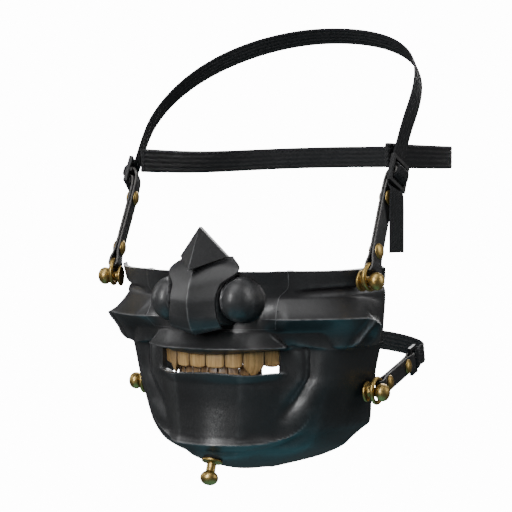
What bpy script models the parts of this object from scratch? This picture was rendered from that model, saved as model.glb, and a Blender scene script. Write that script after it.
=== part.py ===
"""Samurai face guard: a lacquered half mask with teeth, held on by leather tabs and webbing.

The mask faces -Y, its right side as seen from the front is +X, and +Z is up.
The origin lies midway between the two upper back corners, where the face sits.
All sizes are in metres.
"""
import math

import bmesh
import bpy
import numpy as np
from mathutils import Vector

# Driving sizes of the mask
MASK_HALF_WIDTH = 0.082
MASK_DEPTH = 0.0605
MASK_HEIGHT = 0.1180
WALL = 0.0025
GAP = 0.0003

# Reliefs on the mask
LEDGE_REACH = 0.0115
LEDGE_DROOP = 0.0085
LIP_REACH = 0.0060
LIP_BOW = 0.0023
TOP_DIP = 0.0010
CREASE_DEPTH = 0.0016
FOLD_DEPTH = 0.0022

# Nose
NOSE_REACH = 0.0205
NOSE_HALF_WIDTH = 0.0138
BAND_WALL = 0.0022
UPPER_BAND_CLEAR = 0.0015
NOSTRIL_HALF_WIDTH = 0.0101
NOSTRIL_HALF_HEIGHT = 0.0122
NOSTRIL_SPREAD = 0.0204
NOSTRIL_DROP = 0.0160
NOSTRIL_SEAT = 0.0016
NOSE_SEAM = 0.00045
NOSE_END_SEAM = 0.055
CREST_RISE = 0.0231
CREST_HALF_WIDTH = 0.0141
CREST_WALL = 0.0020

# Teeth
TOOTH_DEPTH = 0.0035
TOOTH_GAP = 0.0006
UPPER_TOOTH_SHOWN = 0.0078
LOWER_TOOTH_SHOWN = 0.0060
TOOTH_ROOT = 0.0040
FANG_EXTRA = 0.0052
LOWER_TOOTH_CLEAR = 0.0008
ARCH_TURN = math.radians(52)

# Studs, rings and rivets
FLANGE_RADIUS = 0.0058
FLANGE_THICKNESS = 0.0014
STEM_RADIUS = 0.0026
STEM_LENGTH = 0.0053
KNOB_RADIUS = 0.0050
KNOB_HALF_LENGTH = 0.0040
RING_RADIUS = 0.0068
RING_WIRE = 0.00125
RIVET_RADIUS = 0.0043
RIVET_RISE = 0.0018
SHANK_RADIUS = 0.0012

# Leather and webbing
LEATHER_WIDTH = 0.0098
LEATHER_WALL = 0.0013
PLY_GAP = 0.0004
TAB_LENGTH = 0.0570
LOW_TAB_LENGTH = 0.0500
WEB_WIDTH = 0.0118
WEB_WALL = 0.0013
STRAP_LEAN = math.radians(29)
TAB_INWARD = math.radians(6.5)
LOW_TAB_INWARD = math.radians(6)
NECK_TAB_RISE = math.radians(11.5)
TAIL_LENGTH = 0.0345
TAIL_TURN = 0.42
BACK_STRAP_FOLD = 0.0240
BACK_STRAP_WIDTH = 0.0138
BACK_STRAP_ABOVE = 0.0032
BACK_STRAP_LEFT_ABOVE = 0.0012
BACK_STRAP_LEVEL = 0.0650
BACK_STRAP_CLEAR = 0.0032

# Slide buckles and neck frames
BUCKLE_BAR = 0.0022
BUCKLE_SLOT = 0.0050
BUCKLE_SIDE_CLEARANCE = 0.0006
BUCKLE_CAMBER = 0.0010
FRAME_BAR = 0.0018
FRAME_SLOT = 0.0058

# The head and neck that the straps go round
HEAD_BACK = 0.1780
HEAD_BULGE = 0.0110
CROWN_HEIGHT = 0.1390
CROWN_RIGHT_BULGE = 0.0065
CROWN_BACK = 0.1130
NECK_BACK = 0.1110
NECK_STRAP_RISE = 0.0065
NECK_STRAP_FOLD = 0.0062

# Sections of the mask from its top edge to its lower back rim. The drop is a share of
# MASK_HEIGHT, the half widths of MASK_HALF_WIDTH and the places forward of MASK_DEPTH.
SECTION_COLUMNS = ("drop", "rim_half", "rim_fore", "cheek_half", "cheek_fore",
                   "corner_half", "corner_fore", "front_fore")
SECTIONS = (
    (0.00, 1.00, 0.00, 0.84, 0.36, 0.52, 0.73, 0.99),
    (0.075, 0.98, -0.07, 0.82, 0.36, 0.51, 0.72, 0.94),
    (0.13, 0.97, -0.11, 0.81, 0.35, 0.50, 0.71, 0.93),
    (0.225, 0.945, -0.15, 0.79, 0.36, 0.49, 0.71, 0.93),
    (0.29, 0.93, -0.18, 0.775, 0.37, 0.475, 0.70, 0.94),
    (0.36, 0.915, -0.20, 0.755, 0.40, 0.45, 0.67, 0.98),
    (0.375, 0.91, -0.21, 0.745, 0.41, 0.435, 0.64, 1.00),
    (0.49, 0.865, -0.25, 0.715, 0.40, 0.435, 0.64, 1.00),
    (0.535, 0.85, -0.28, 0.70, 0.40, 0.435, 0.64, 0.98),
    (0.635, 0.815, -0.32, 0.655, 0.40, 0.415, 0.63, 0.96),
    (0.745, 0.79, -0.36, 0.615, 0.37, 0.39, 0.61, 0.97),
    (0.78, 0.735, -0.36, 0.59, 0.36, 0.38, 0.58, 0.95),
    (0.825, 0.66, -0.36, 0.545, 0.34, 0.35, 0.57, 0.92),
    (0.865, 0.60, -0.36, 0.475, 0.29, 0.29, 0.52, 0.87),
    (0.92, 0.44, -0.36, 0.31, 0.18, 0.17, 0.37, 0.60),
    (0.965, 0.235, -0.36, 0.165, -0.04, 0.09, 0.10, 0.23),
    (1.00, 0.05, -0.36, 0.033, -0.36, 0.017, -0.35, -0.35),
)
LEDGE_BACK_ROW, LEDGE_EDGE_ROW, LEDGE_FOOT_ROW = 2, 3, 4
LIP_ROW, MOUTH_TOP_ROW, MOUTH_BOTTOM_ROW = 5, 6, 7
LEDGE_FOOT_FALL = 2.2
NOSE_END_ROW = 3.75
LAST_ROW = len(SECTIONS) - 1
CORNER_PLACE, CHEEK_PLACE = 0.36, 0.68
FRONT_PLACE = 0.18
FRONT_HALF_SHARE = 0.52
FRONT_ROUNDNESS = 0.20
PLACES = np.array((-1, -CHEEK_PLACE, -CORNER_PLACE, -FRONT_PLACE, 0, FRONT_PLACE, CORNER_PLACE,
                   CHEEK_PLACE, 1.0))

# Sections of the nose band: drop as a share of MASK_HEIGHT below the origin, reach of the
# ridge and of the edge as shares of NOSE_REACH beyond MASK_DEPTH, half width as a share of
# NOSE_HALF_WIDTH, and how much lower the ridge lies than the edge as a share of MASK_HEIGHT.
BAND_SECTIONS = (
    (-0.060, 0.34, -0.39, 1.02, 0.000),
    (0.000, 0.55, -0.06, 1.60, 0.000),
    (0.070, 0.84, 0.42, 1.16, 0.002),
    (0.136, 0.95, 0.61, 1.00, 0.004),
    (0.200, 0.88, 0.60, 1.02, 0.008),
    (0.248, 0.68, 0.46, 1.08, 0.020),
    (0.262, 0.42, 0.34, 1.08, 0.032),
)

# Edges of the teeth from the midline out, as shares of the mouth's half width
UPPER_TOOTH_EDGES = (0.0, 0.305, 0.58, 0.83, 1.05)
FANG_NUMBER = 2
LOWER_TOOTH_EDGES = (0.0, 0.17, 0.34, 0.53, 0.69, 0.84)

# Where the studs stand: place across the mask and row down it. A side stud turns forwards
# by only a share of the wall's own turn, so that its tab lies along the head.
SIDE_STUD_TURN = 0.42
TOP_STUD_AT = (0.765, 0.72)
LOW_STUD_AT = (0.935, 8.6)
CHIN_STUD_AT = (0.0, 13.35)

COLOURS = {
    "lacquer": (0.022, 0.022, 0.024, 0.42, 0.0),
    "brass": (0.45, 0.28, 0.09, 0.32, 1.0),
    "tooth": (0.42, 0.25, 0.09, 0.55, 0.0),
    "lower_tooth": (0.22, 0.12, 0.05, 0.55, 0.0),
    "leather": (0.012, 0.011, 0.011, 0.6, 0.0),
    "webbing": (0.014, 0.013, 0.013, 0.85, 0.0),
    "buckle": (0.010, 0.010, 0.011, 0.4, 0.0),
}


def clear_scene():
    """Take every object out of the open file."""
    for item in list(bpy.data.objects):
        bpy.data.objects.remove(item, do_unlink=True)


def new_collection(name):
    """Give a collection of the scene."""
    group = bpy.data.collections.new(name)
    bpy.context.scene.collection.children.link(group)
    return group


def material(name):
    """Give the Principled material of one finish."""
    found = bpy.data.materials.get(name)
    if found:
        return found
    red, green, blue, roughness, metallic = COLOURS[name]
    made = bpy.data.materials.new(name)
    made.use_nodes = True
    shader = made.node_tree.nodes["Principled BSDF"]
    shader.inputs["Base Color"].default_value = (red, green, blue, 1)
    shader.inputs["Roughness"].default_value = roughness
    shader.inputs["Metallic"].default_value = metallic
    return made


def place_object(name, mesh, group, finish):
    """Put a mesh in the model as a named object with its finish."""
    item = bpy.data.objects.new(name, mesh)
    item.data.materials.append(material(finish))
    group.objects.link(item)
    return item


def mesh_from(name, points, faces):
    """Make a mesh from points and faces, with its faces pointing outwards."""
    mesh = bpy.data.meshes.new(name)
    mesh.from_pydata([tuple(map(float, point)) for point in points], [], faces)
    work = bmesh.new()
    work.from_mesh(mesh)
    bmesh.ops.recalc_face_normals(work, faces=work.faces)
    work.to_mesh(mesh)
    work.free()
    return mesh


def smooth(value):
    """Ease from 0 to 1 with level ends."""
    share = np.clip(value, 0, 1)
    return share * share * (3 - 2 * share)


def through(knots, values, at):
    """Follow a cubic through table values that never swings past them."""
    knots = np.asarray(knots, float)
    at = np.atleast_1d(np.asarray(at, float))
    values = np.broadcast_to(np.asarray(values, float), (len(knots), len(at)))
    step = np.diff(knots)[:, None]
    slope = np.diff(values, axis=0) / step
    before, after = slope[:-1], slope[1:]
    same = before * after > 0
    mean = np.where(same, 2 * before * after / np.where(same, before + after, 1), 0)
    tangent = np.concatenate([slope[:1], mean, slope[-1:]])
    cell = np.clip(np.searchsorted(knots, at, side="right") - 1, 0, len(knots) - 2)
    here = np.arange(len(at))
    width = knots[cell + 1] - knots[cell]
    share = np.clip((at - knots[cell]) / width, 0, 1)
    start, end = values[cell, here], values[cell + 1, here]
    out, into = tangent[cell, here] * width, tangent[cell + 1, here] * width
    square, cube = share**2, share**3
    return ((2 * cube - 3 * square + 1) * start + (cube - 2 * square + share) * out
            + (3 * square - 2 * cube) * end + (cube - square) * into)


def section_values(row):
    """Read the table of sections at a row, between its lines too."""
    table = np.array(SECTIONS)
    scales = (MASK_HEIGHT, MASK_HALF_WIDTH, MASK_DEPTH, MASK_HALF_WIDTH, MASK_DEPTH,
              MASK_HALF_WIDTH, MASK_DEPTH, MASK_DEPTH)
    return {name: through(range(len(table)), table[:, [index]], row) * scales[index]
            for index, name in enumerate(SECTION_COLUMNS)}


def base_point(place, row):
    """Give the mask's plain form: the cheeks, the mouth's arch and the bowl of the chin."""
    place, row = np.broadcast_arrays(np.asarray(place, float), np.asarray(row, float))
    shape = place.shape
    place, row = place.ravel(), row.ravel()
    at = section_values(row)
    none = np.zeros_like(place)
    half = (at["corner_half"] * FRONT_HALF_SHARE, at["corner_half"], at["cheek_half"],
            at["rim_half"])
    near = at["front_fore"] + (at["corner_fore"] - at["front_fore"]) * FRONT_ROUNDNESS
    fore = (near, at["corner_fore"], at["cheek_fore"], at["rim_fore"])
    across = np.stack([-value for value in half[::-1]] + [none] + list(half))
    along = -np.stack(list(fore[::-1]) + [at["front_fore"]] + list(fore))
    inside = 1 - smooth(abs(place) / CORNER_PLACE)
    height = -at["drop"] - TOP_DIP * smooth((1 - abs(place)) / 0.5) * smooth(1 - row)
    height = height + LIP_BOW * inside * smooth(1 - abs(row - MOUTH_BOTTOM_ROW))
    height = height - LIP_BOW * 0.6 * inside * smooth(1 - abs(row - MOUTH_TOP_ROW))
    end = smooth((abs(place) - 0.76) / 0.2)
    height = height - LEDGE_DROOP * end * smooth(1 - abs(row - LEDGE_EDGE_ROW - 0.4) / 2.0)
    points = np.stack([through(PLACES, across, place), through(PLACES, along, place), height], -1)
    return points.reshape(shape + (3,))


def normal_of(surface, place, row):
    """Give a surface's outward direction from two small steps across it."""
    step = 0.004
    across = surface(np.clip(place + step, -1, 1), row) - surface(np.clip(place - step, -1, 1), row)
    down = (surface(place, np.clip(row + step, 0, LAST_ROW))
            - surface(place, np.clip(row - step, 0, LAST_ROW)))
    normal = np.cross(down, across)
    return normal / np.maximum(np.linalg.norm(normal, axis=-1, keepdims=True), 1e-12)


def ledge_share(place, row):
    """Give the cheek ledge: a slope outwards, a sharp edge and a short underside."""
    rise = np.clip((row - LEDGE_BACK_ROW) / (LEDGE_EDGE_ROW - LEDGE_BACK_ROW), 0, 1) ** 1.3
    foot = LEDGE_FOOT_ROW + LEDGE_FOOT_FALL * smooth((abs(place) - 0.55) / 0.25)
    fall = np.clip((foot - row) / (foot - LEDGE_EDGE_ROW), 0, 1) ** 1.3
    along = smooth((abs(place) - 0.24) / 0.12) * (1 - smooth((abs(place) - 0.86) / 0.14))
    return np.where(row < LEDGE_EDGE_ROW, rise, fall) * along


def lip_share(place, row):
    """Give the upper lip: a slope out to its edge, then the underside over the teeth."""
    rise = np.clip(row - LEDGE_FOOT_ROW + 0.1, 0, 1) ** 1.2
    fall = np.clip((MOUTH_TOP_ROW - row) / (MOUTH_TOP_ROW - LIP_ROW), 0, 1)
    along = 1 - smooth((abs(place) - 0.34) / 0.07)
    return np.where(row < LIP_ROW, rise, fall) * along


def fold_depth(place, row):
    """Give the folds pressed into the cheeks: under the eye and round the mouth's corner."""
    eye = np.exp(-((row - 1.55 + 0.9 * (abs(place) - 0.5)) / 0.28) ** 2)
    eye = eye * smooth((abs(place) - 0.38) / 0.15)
    around = np.hypot((abs(place) - 0.30) / 0.22, (row - 7.0) / 2.3)
    crease = np.exp(-((around - 1) / 0.16) ** 2) * smooth((abs(place) - 0.34) / 0.1)
    return FOLD_DEPTH * eye + CREASE_DEPTH * crease


def band_values(height):
    """Read the nose band's table at a height, as real lengths."""
    table = np.array(BAND_SECTIONS)
    drop = -np.ravel(height) / MASK_HEIGHT
    ridge, edge, half, sag = (through(table[:, 0], table[:, [index]], drop) for index in (1, 2, 3, 4))
    return (MASK_DEPTH + NOSE_REACH * ridge, MASK_DEPTH + NOSE_REACH * edge,
            NOSE_HALF_WIDTH * half, MASK_HEIGHT * sag)


def nose_fore(across, height):
    """Give how far forward the nose stands: a wedge under the band and two round nostrils."""
    ridge, edge, half, _ = band_values(height)
    side = abs(np.ravel(across)) / half
    near_top = smooth((np.ravel(height) + 0.013) / 0.004)
    set_back = BAND_WALL + 3 * GAP + UPPER_BAND_CLEAR * near_top
    wedge = ridge + (edge - ridge) * np.minimum(side, 1) - set_back
    wedge = wedge - smooth((side - 0.92) / 0.5) * 2 * NOSE_REACH
    low = -BAND_SECTIONS[-1][0] * MASK_HEIGHT
    under = smooth((np.ravel(height) - low + 0.004) / 0.007)
    wedge = wedge - (1 - under) * NOSE_REACH * 2
    round_share = (1 - ((abs(np.ravel(across)) - NOSTRIL_SPREAD) / NOSTRIL_HALF_WIDTH) ** 2
                   - ((np.ravel(height) + NOSTRIL_DROP) / NOSTRIL_HALF_HEIGHT) ** 2)
    foot = 3 * NOSTRIL_HALF_WIDTH * (np.sqrt(1 - np.minimum(round_share, 0)) - 1)
    bulge = NOSTRIL_HALF_WIDTH * np.sqrt(np.maximum(round_share, 0))
    nostril = MASK_DEPTH + NOSTRIL_SEAT + bulge - foot
    below_band = ridge + (edge - ridge) * np.minimum(side, 1.15) - set_back
    below_band = below_band + smooth((side - 1.15) / 0.3) * 3 * NOSE_REACH
    return np.minimum(np.maximum(wedge, nostril), below_band)


def face_point(place, row, relief=1.0):
    """Give the mask's outer surface: its plain form with ledges, lip, folds and nose."""
    place, row = np.broadcast_arrays(np.asarray(place, float), np.asarray(row, float))
    points = base_point(place, row)
    out = normal_of(base_point, place, row)
    flat = out * (1, 1, 0)
    flat = flat / np.maximum(np.linalg.norm(flat, axis=-1, keepdims=True), 1e-9)
    reach = LEDGE_REACH * ledge_share(place, row) + LIP_REACH * lip_share(place, row)
    points = points + flat * (reach * relief)[..., None]
    points = points - out * (fold_depth(place, row) * relief)[..., None]
    fore = nose_fore(points[..., 0], points[..., 2]).reshape(place.shape)
    inner = smooth((CORNER_PLACE - 0.01 - abs(place)) / 0.05) * smooth((NOSE_END_ROW - row) / 0.3)
    more = np.maximum(fore + points[..., 1], 0) * inner
    points[..., 1] -= more * relief
    return points


def inner_point(place, row):
    """Give the mask's smooth inside, a wall behind the plain form and part of its reliefs."""
    return face_point(place, row, relief=0.5) - WALL * normal_of(base_point, place, row)


def nose_inner_point(place, row):
    """Give the nose's hollow inside, a wall behind its front."""
    behind = face_point(place, row)
    behind[..., 1] += WALL
    flat = face_point(place, row, relief=0.0) - WALL * normal_of(base_point, place, row)
    deep = smooth((CORNER_PLACE - 0.03 - abs(np.broadcast_to(place, behind.shape[:-1]))) / 0.05)
    deep = deep * smooth((NOSE_END_ROW - np.broadcast_to(row, behind.shape[:-1])) / 0.4)
    return flat + (behind - flat) * deep[..., None]


def sheet_between(name, places, rows, outer, inner, keep):
    """Close the space between two surfaces over the cells of a grid that are kept."""
    across, down = np.meshgrid(places, rows)
    points = np.concatenate([outer(across, down).reshape(-1, 3), inner(across, down).reshape(-1, 3)])
    wide, high = len(places), len(rows)
    back = wide * high
    middle_place = (across[:-1, :-1] + across[1:, 1:]) / 2
    middle_row = (down[:-1, :-1] + down[1:, 1:]) / 2
    kept = keep(middle_place, middle_row)

    def corner(i, j):
        return i * wide + j

    faces = []
    for i in range(high - 1):
        for j in range(wide - 1):
            if not kept[i, j]:
                continue
            ring = (corner(i, j), corner(i, j + 1), corner(i + 1, j + 1), corner(i + 1, j))
            faces.append(ring)
            faces.append(tuple(back + index for index in reversed(ring)))
            beside = ((i - 1, j), (i, j + 1), (i + 1, j), (i, j - 1))
            for side, (near_i, near_j) in enumerate(beside):
                inside = 0 <= near_i < high - 1 and 0 <= near_j < wide - 1
                if inside and kept[near_i, near_j]:
                    continue
                first, second = ring[side], ring[(side + 1) % 4]
                faces.append((second, first, back + first, back + second))
    used = sorted({index for face in faces for index in face})
    number = {index: place for place, index in enumerate(used)}
    return mesh_from(name, points[used], [tuple(number[i] for i in face) for face in faces])


def spread(stops, counts):
    """Divide each stretch between two stops into its count of equal steps."""
    parts = [np.linspace(stops[i], stops[i + 1], counts[i], endpoint=False)
             for i in range(len(counts))]
    return np.append(np.concatenate(parts), stops[-1])


def make_shell(group):
    """Make the mask's body, open at the mouth and behind the nose."""
    sides = spread((CORNER_PLACE, 1.0), (10,))
    middle = spread((-CORNER_PLACE, CORNER_PLACE), (14,))
    places = np.concatenate([-sides[::-1], middle[1:-1], sides])
    rows = spread((0, 1, 2, 3, NOSE_END_ROW, 4, 5, 6, 7, 8, 9, 10, 11, 12, 13, 14, 15, LAST_ROW),
                  (2, 2, 3, 2, 1, 3, 1, 2, 1, 2, 2, 1, 1, 1, 2, 2, 1))

    def keep(place, row):
        mouth = (abs(place) < CORNER_PLACE) & (row > MOUTH_TOP_ROW) & (row < MOUTH_BOTTOM_ROW)
        nose = (abs(place) < CORNER_PLACE) & (row < NOSE_END_ROW)
        return ~mouth & ~nose

    place_object("face_shell", sheet_between("face_shell", places, rows, face_point, inner_point,
                                             keep), group, "lacquer")


def make_nose(group):
    """Make the nose piece with its two round nostrils, a gap inside the shell's opening."""
    inset = NOSE_SEAM * CORNER_PLACE / (MASK_HALF_WIDTH * SECTIONS[0][5])
    places = np.linspace(-CORNER_PLACE + inset, CORNER_PLACE - inset, 25)
    rows = np.linspace(0, NOSE_END_ROW - NOSE_END_SEAM, 17)
    mesh = sheet_between("nose_piece", places, rows, face_point, nose_inner_point,
                         lambda place, row: abs(place) < 1)
    place_object("nose_piece", mesh, group, "lacquer")


def solidified(name, points, wide, closed, thickness, group, finish, offset=0.0):
    """Give a wall to an open sheet of points, wide points to each row."""
    high = len(points) // wide
    last = high if closed else high - 1
    faces = [(i * wide + j, i * wide + j + 1, (i + 1) % high * wide + j + 1, (i + 1) % high * wide + j)
             for i in range(last) for j in range(wide - 1)]
    item = place_object(name, mesh_from(name, points, faces), group, finish)
    wall = item.modifiers.new("wall", "SOLIDIFY")
    wall.thickness = thickness
    wall.offset = offset
    wall.use_even_offset = True
    return item


def make_band(group):
    """Make the ridged plate down the middle of the nose."""
    drops = spread([row[0] for row in BAND_SECTIONS], (2, 2, 2, 2, 2, 1))
    height = -drops * MASK_HEIGHT
    ridge, edge, half, sag = band_values(height)
    shares = (-1, -0.5, 0, 0.5, 1)
    points = []
    for index, level in enumerate(height):
        for share in shares:
            side = abs(share)
            fore = ridge[index] + (edge[index] - ridge[index]) * side
            points.append((half[index] * share, -fore + BAND_WALL / 2,
                           level - sag[index] * (1 - side)))
    solidified("nose_band", points, len(shares), False, BAND_WALL, group, "lacquer")


def make_crest(group):
    """Make the pointed crest: two flat triangles that meet on a ridge."""
    ridge, edge, half, _ = band_values((-BAND_SECTIONS[0][0] * MASK_HEIGHT, 0.0))
    clear = BAND_WALL + 1.6 * CREST_WALL
    slope = (ridge[1] - ridge[0]) / (-BAND_SECTIONS[0][0] * MASK_HEIGHT)
    top = (0, -(ridge[1] + clear - slope * CREST_RISE), CREST_RISE)
    foot = (0, -(ridge[1] + clear), 0.0)
    side = (CREST_HALF_WIDTH, -(edge[0] + clear), -BAND_SECTIONS[0][0] * MASK_HEIGHT)
    mesh = mesh_from("nose_crest", (top, foot, side), [(0, 1, 2)])
    item = place_object("nose_crest", mesh, group, "lacquer")
    twin = item.modifiers.new("other half", "MIRROR")
    twin.merge_threshold = 0.0001
    wall = item.modifiers.new("wall", "SOLIDIFY")
    wall.thickness = CREST_WALL
    wall.offset = 0
    wall.use_even_offset = True


def mouth_arch(across, back, row):
    """Give a point behind the mouth's edge: place on the arch, set back by a length."""
    place = CORNER_PLACE * across
    edge = base_point(place, row)
    outward = np.array((math.sin(ARCH_TURN * across), -math.cos(ARCH_TURN * across), 0.0))
    return edge - outward * back


def make_tooth(name, near, far, back, top, bottom, tip, group, finish):
    """Make one tooth: a block along the arch, its biting end rounded or drawn to a tip."""
    trim = TOOTH_GAP / MASK_HALF_WIDTH
    shares = np.linspace(near + trim, far - trim, 3)
    levels = np.linspace(0, 1, 4 if tip else 3)
    middle = (near + far) / 2
    front, rear = [], []
    for level in levels:
        narrow = 1 - (0.12 if tip == 0 else 0.80) * level ** 3
        for share in shares:
            along = middle + (share - middle) * narrow
            across = abs(share - middle) / (far - near) * 2
            height = top + (bottom - top) * level - tip * level ** 2 * (1 - across * 0.35)
            for depth, points in ((back, front), (back + TOOTH_DEPTH, rear)):
                point = mouth_arch(np.array(along), depth, float(MOUTH_TOP_ROW))
                points.append((point[0], point[1], height))
    wide = len(shares)
    count = len(front)
    faces = []
    for i in range(len(levels) - 1):
        for j in range(wide - 1):
            ring = (i * wide + j, i * wide + j + 1, (i + 1) * wide + j + 1, (i + 1) * wide + j)
            faces.append(ring)
            faces.append(tuple(count + k for k in reversed(ring)))
    border = list(range(wide)) + [wide * (i + 2) - 1 for i in range(len(levels) - 1)]
    border += [count - 2 - j for j in range(wide - 1)]
    border += [wide * (len(levels) - 2 - i) for i in range(len(levels) - 2)]
    for first, second in zip(border, border[1:] + border[:1]):
        faces.append((second, first, count + first, count + second))
    place_object(name, mesh_from(name, front + rear, faces), group, finish)


def make_teeth(group):
    """Make the upper row with its two fangs and the lower row behind it."""
    top = float(base_point(0.0, float(MOUTH_TOP_ROW))[2])
    low = float(base_point(CORNER_PLACE, float(MOUTH_BOTTOM_ROW))[2])
    seat = WALL + 2 * GAP
    for number in range(len(UPPER_TOOTH_EDGES) - 1):
        near, far = UPPER_TOOTH_EDGES[number:number + 2]
        tip = FANG_EXTRA if number == FANG_NUMBER else 0.0
        for side, word in ((-1, "left"), (1, "right")):
            name = f"fang_{word}" if tip else f"upper_tooth_{word}_{number + 1}"
            ends = sorted((side * near, side * far))
            make_tooth(name, ends[0], ends[1], seat, top + TOOTH_ROOT, top - UPPER_TOOTH_SHOWN, tip,
                       group, "tooth")
    for number in range(len(LOWER_TOOTH_EDGES) - 1):
        near, far = LOWER_TOOTH_EDGES[number:number + 2]
        for side, word in ((-1, "left"), (1, "right")):
            ends = sorted((side * near, side * far))
            make_tooth(f"lower_tooth_{word}_{number + 1}", ends[0], ends[1],
                       seat + TOOTH_DEPTH + LOWER_TOOTH_CLEAR, low - TOOTH_ROOT, low + LOWER_TOOTH_SHOWN,
                       0.0, group, "lower_tooth")


def turned(name, profile, place, axis, group, finish, steps=10):
    """Turn a profile of radius and height about an axis through a place."""
    mesh = bpy.data.meshes.new(name)
    work = bmesh.new()
    rings = [work.verts.new((radius, 0, level)) for radius, level in profile]
    for first, second in zip(rings, rings[1:]):
        work.edges.new((first, second))
    work.to_mesh(mesh)
    work.free()
    item = place_object(name, mesh, group, finish)
    turn = item.modifiers.new("turn", "SCREW")
    turn.steps = turn.render_steps = steps
    turn.use_merge_vertices = True
    turn.merge_threshold = 0.00005
    item.rotation_mode = "QUATERNION"
    item.rotation_quaternion = Vector(axis).to_track_quat("Z", "Y")
    item.location = place
    return item


def stud_profile():
    """Give a stud's outline from its knob down to its flange, both ends on the axis."""
    stem_top = FLANGE_THICKNESS + STEM_LENGTH
    middle = stem_top + KNOB_HALF_LENGTH * 0.8
    angles = np.linspace(math.pi / 2, -math.pi / 2 + 0.75, 6)
    knob = [(KNOB_RADIUS * math.cos(angle), middle + KNOB_HALF_LENGTH * math.sin(angle))
            for angle in angles]
    knob[0] = (0.0, middle + KNOB_HALF_LENGTH)
    flange = [(FLANGE_RADIUS * 0.82, FLANGE_THICKNESS), (FLANGE_RADIUS, FLANGE_THICKNESS * 0.6),
              (FLANGE_RADIUS, 0.0), (0.0, 0.0)]
    return knob + [(STEM_RADIUS, stem_top * 0.98), (STEM_RADIUS, FLANGE_THICKNESS)] + flange


def stud_seat(at):
    """Find a stud's axis and the place where its flange just clears the mask."""
    place, row = np.array(at[0]), np.array(at[1])
    centre = face_point(place, row)
    axis = normal_of(base_point, place, row)
    if abs(float(place)) > 0:
        axis = axis * (1, SIDE_STUD_TURN, 0)
        axis = axis / np.linalg.norm(axis)
    near_place = np.clip(place + np.linspace(-0.2, 0.2, 41), -1, 1)
    near_row = np.clip(row + np.linspace(-1.5, 1.5, 41), 0, LAST_ROW)
    patch = face_point(*np.meshgrid(near_place, near_row)).reshape(-1, 3) - centre
    rise = patch @ axis
    beside = np.linalg.norm(patch - rise[:, None] * axis, axis=1)
    top = rise[(beside < FLANGE_RADIUS) & (abs(rise) < FLANGE_RADIUS)].max()
    return centre + axis * (top + GAP), axis


def mirrored(point, side):
    """Turn a point or direction to the other side of the mask when side is -1."""
    return np.array(point) * (side, 1, 1)


def make_studs(group):
    """Make the four side studs and the one under the chin."""
    for name, at in (("top", TOP_STUD_AT), ("low", LOW_STUD_AT)):
        place, axis = stud_seat(at)
        for side, word in ((-1, "left"), (1, "right")):
            turned(f"stud_{name}_{word}", stud_profile(), mirrored(place, side),
                   mirrored(axis, side), group, "brass")
    place, axis = stud_seat(CHIN_STUD_AT)
    turned("stud_chin", stud_profile(), place, axis, group, "brass")


def unit(vector):
    """Scale a vector to length 1."""
    vector = np.asarray(vector, float)
    return vector / np.linalg.norm(vector)


def ring_line(at, pull):
    """Give a ring's centre, the strap's direction and its outward face at a side stud.

    The ring stands round the stem beside the knob, pulled along the strap until it bears
    on the stem's far side.
    """
    place, axis = stud_seat(at)
    direction = unit(np.array(pull) - axis * np.dot(pull, axis))
    middle = place + axis * (FLANGE_THICKNESS + STEM_LENGTH - RING_WIRE - GAP)
    centre = middle + direction * (RING_RADIUS - RING_WIRE - STEM_RADIUS - GAP)
    return centre, direction, axis


def make_ring(name, centre, axis, group):
    """Make a ring of round wire."""
    bpy.ops.mesh.primitive_torus_add(major_segments=14, minor_segments=6, major_radius=RING_RADIUS,
                                     minor_radius=RING_WIRE, location=tuple(centre))
    item = bpy.context.object
    item.name = item.data.name = name
    item.rotation_mode = "QUATERNION"
    item.rotation_quaternion = Vector(axis).to_track_quat("Z", "Y")
    item.data.materials.append(material("brass"))
    for holder in list(item.users_collection):
        holder.objects.unlink(item)
    group.objects.link(item)


def ribbon(name, path, across, width, thickness, group, finish, closed=False):
    """Make a strap along a path, its width along one direction for each point."""
    path = np.asarray(path, float)
    across = np.broadcast_to(np.asarray(across, float), path.shape)
    points = np.stack([path - across * width / 2, path + across * width / 2], 1).reshape(-1, 3)
    return solidified(name, points, 2, closed, thickness, group, finish)


def loop_points(centre, radius, start, end, count=6):
    """Trace an arc, in degrees, of a loop that is seen edge on."""
    angles = np.radians(np.linspace(start, end, count))
    return [(centre[0] + radius * math.cos(angle), centre[1] + radius * math.sin(angle))
            for angle in angles]


def bar_loop_radius(bar, wall):
    """Give the middle line's radius where a strap goes round a square bar."""
    return bar * math.sqrt(0.5) + GAP + wall / 2


def ring_seat(width):
    """Give how far from a ring's centre a strap's loop lies, so that the wire clears its ends."""
    return math.sqrt((RING_RADIUS - RING_WIRE) ** 2 - (width / 2) ** 2) + RING_WIRE


def touch_angle(start, centre, radius, side):
    """Give the angle at which a line from a point touches a circle, above (1) or below (-1)."""
    run, rise = centre[0] - start[0], centre[1] - start[1]
    turn = 90 + math.degrees(math.asin(radius / math.hypot(run, rise)))
    return math.degrees(math.atan2(rise, run)) + side * turn


def neck_length(end_radius, end_rise):
    """Give the stretch of a tab over which its plies part to go round a bar."""
    return end_radius * (1.4 if end_rise > 0 else 2.2)


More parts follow.
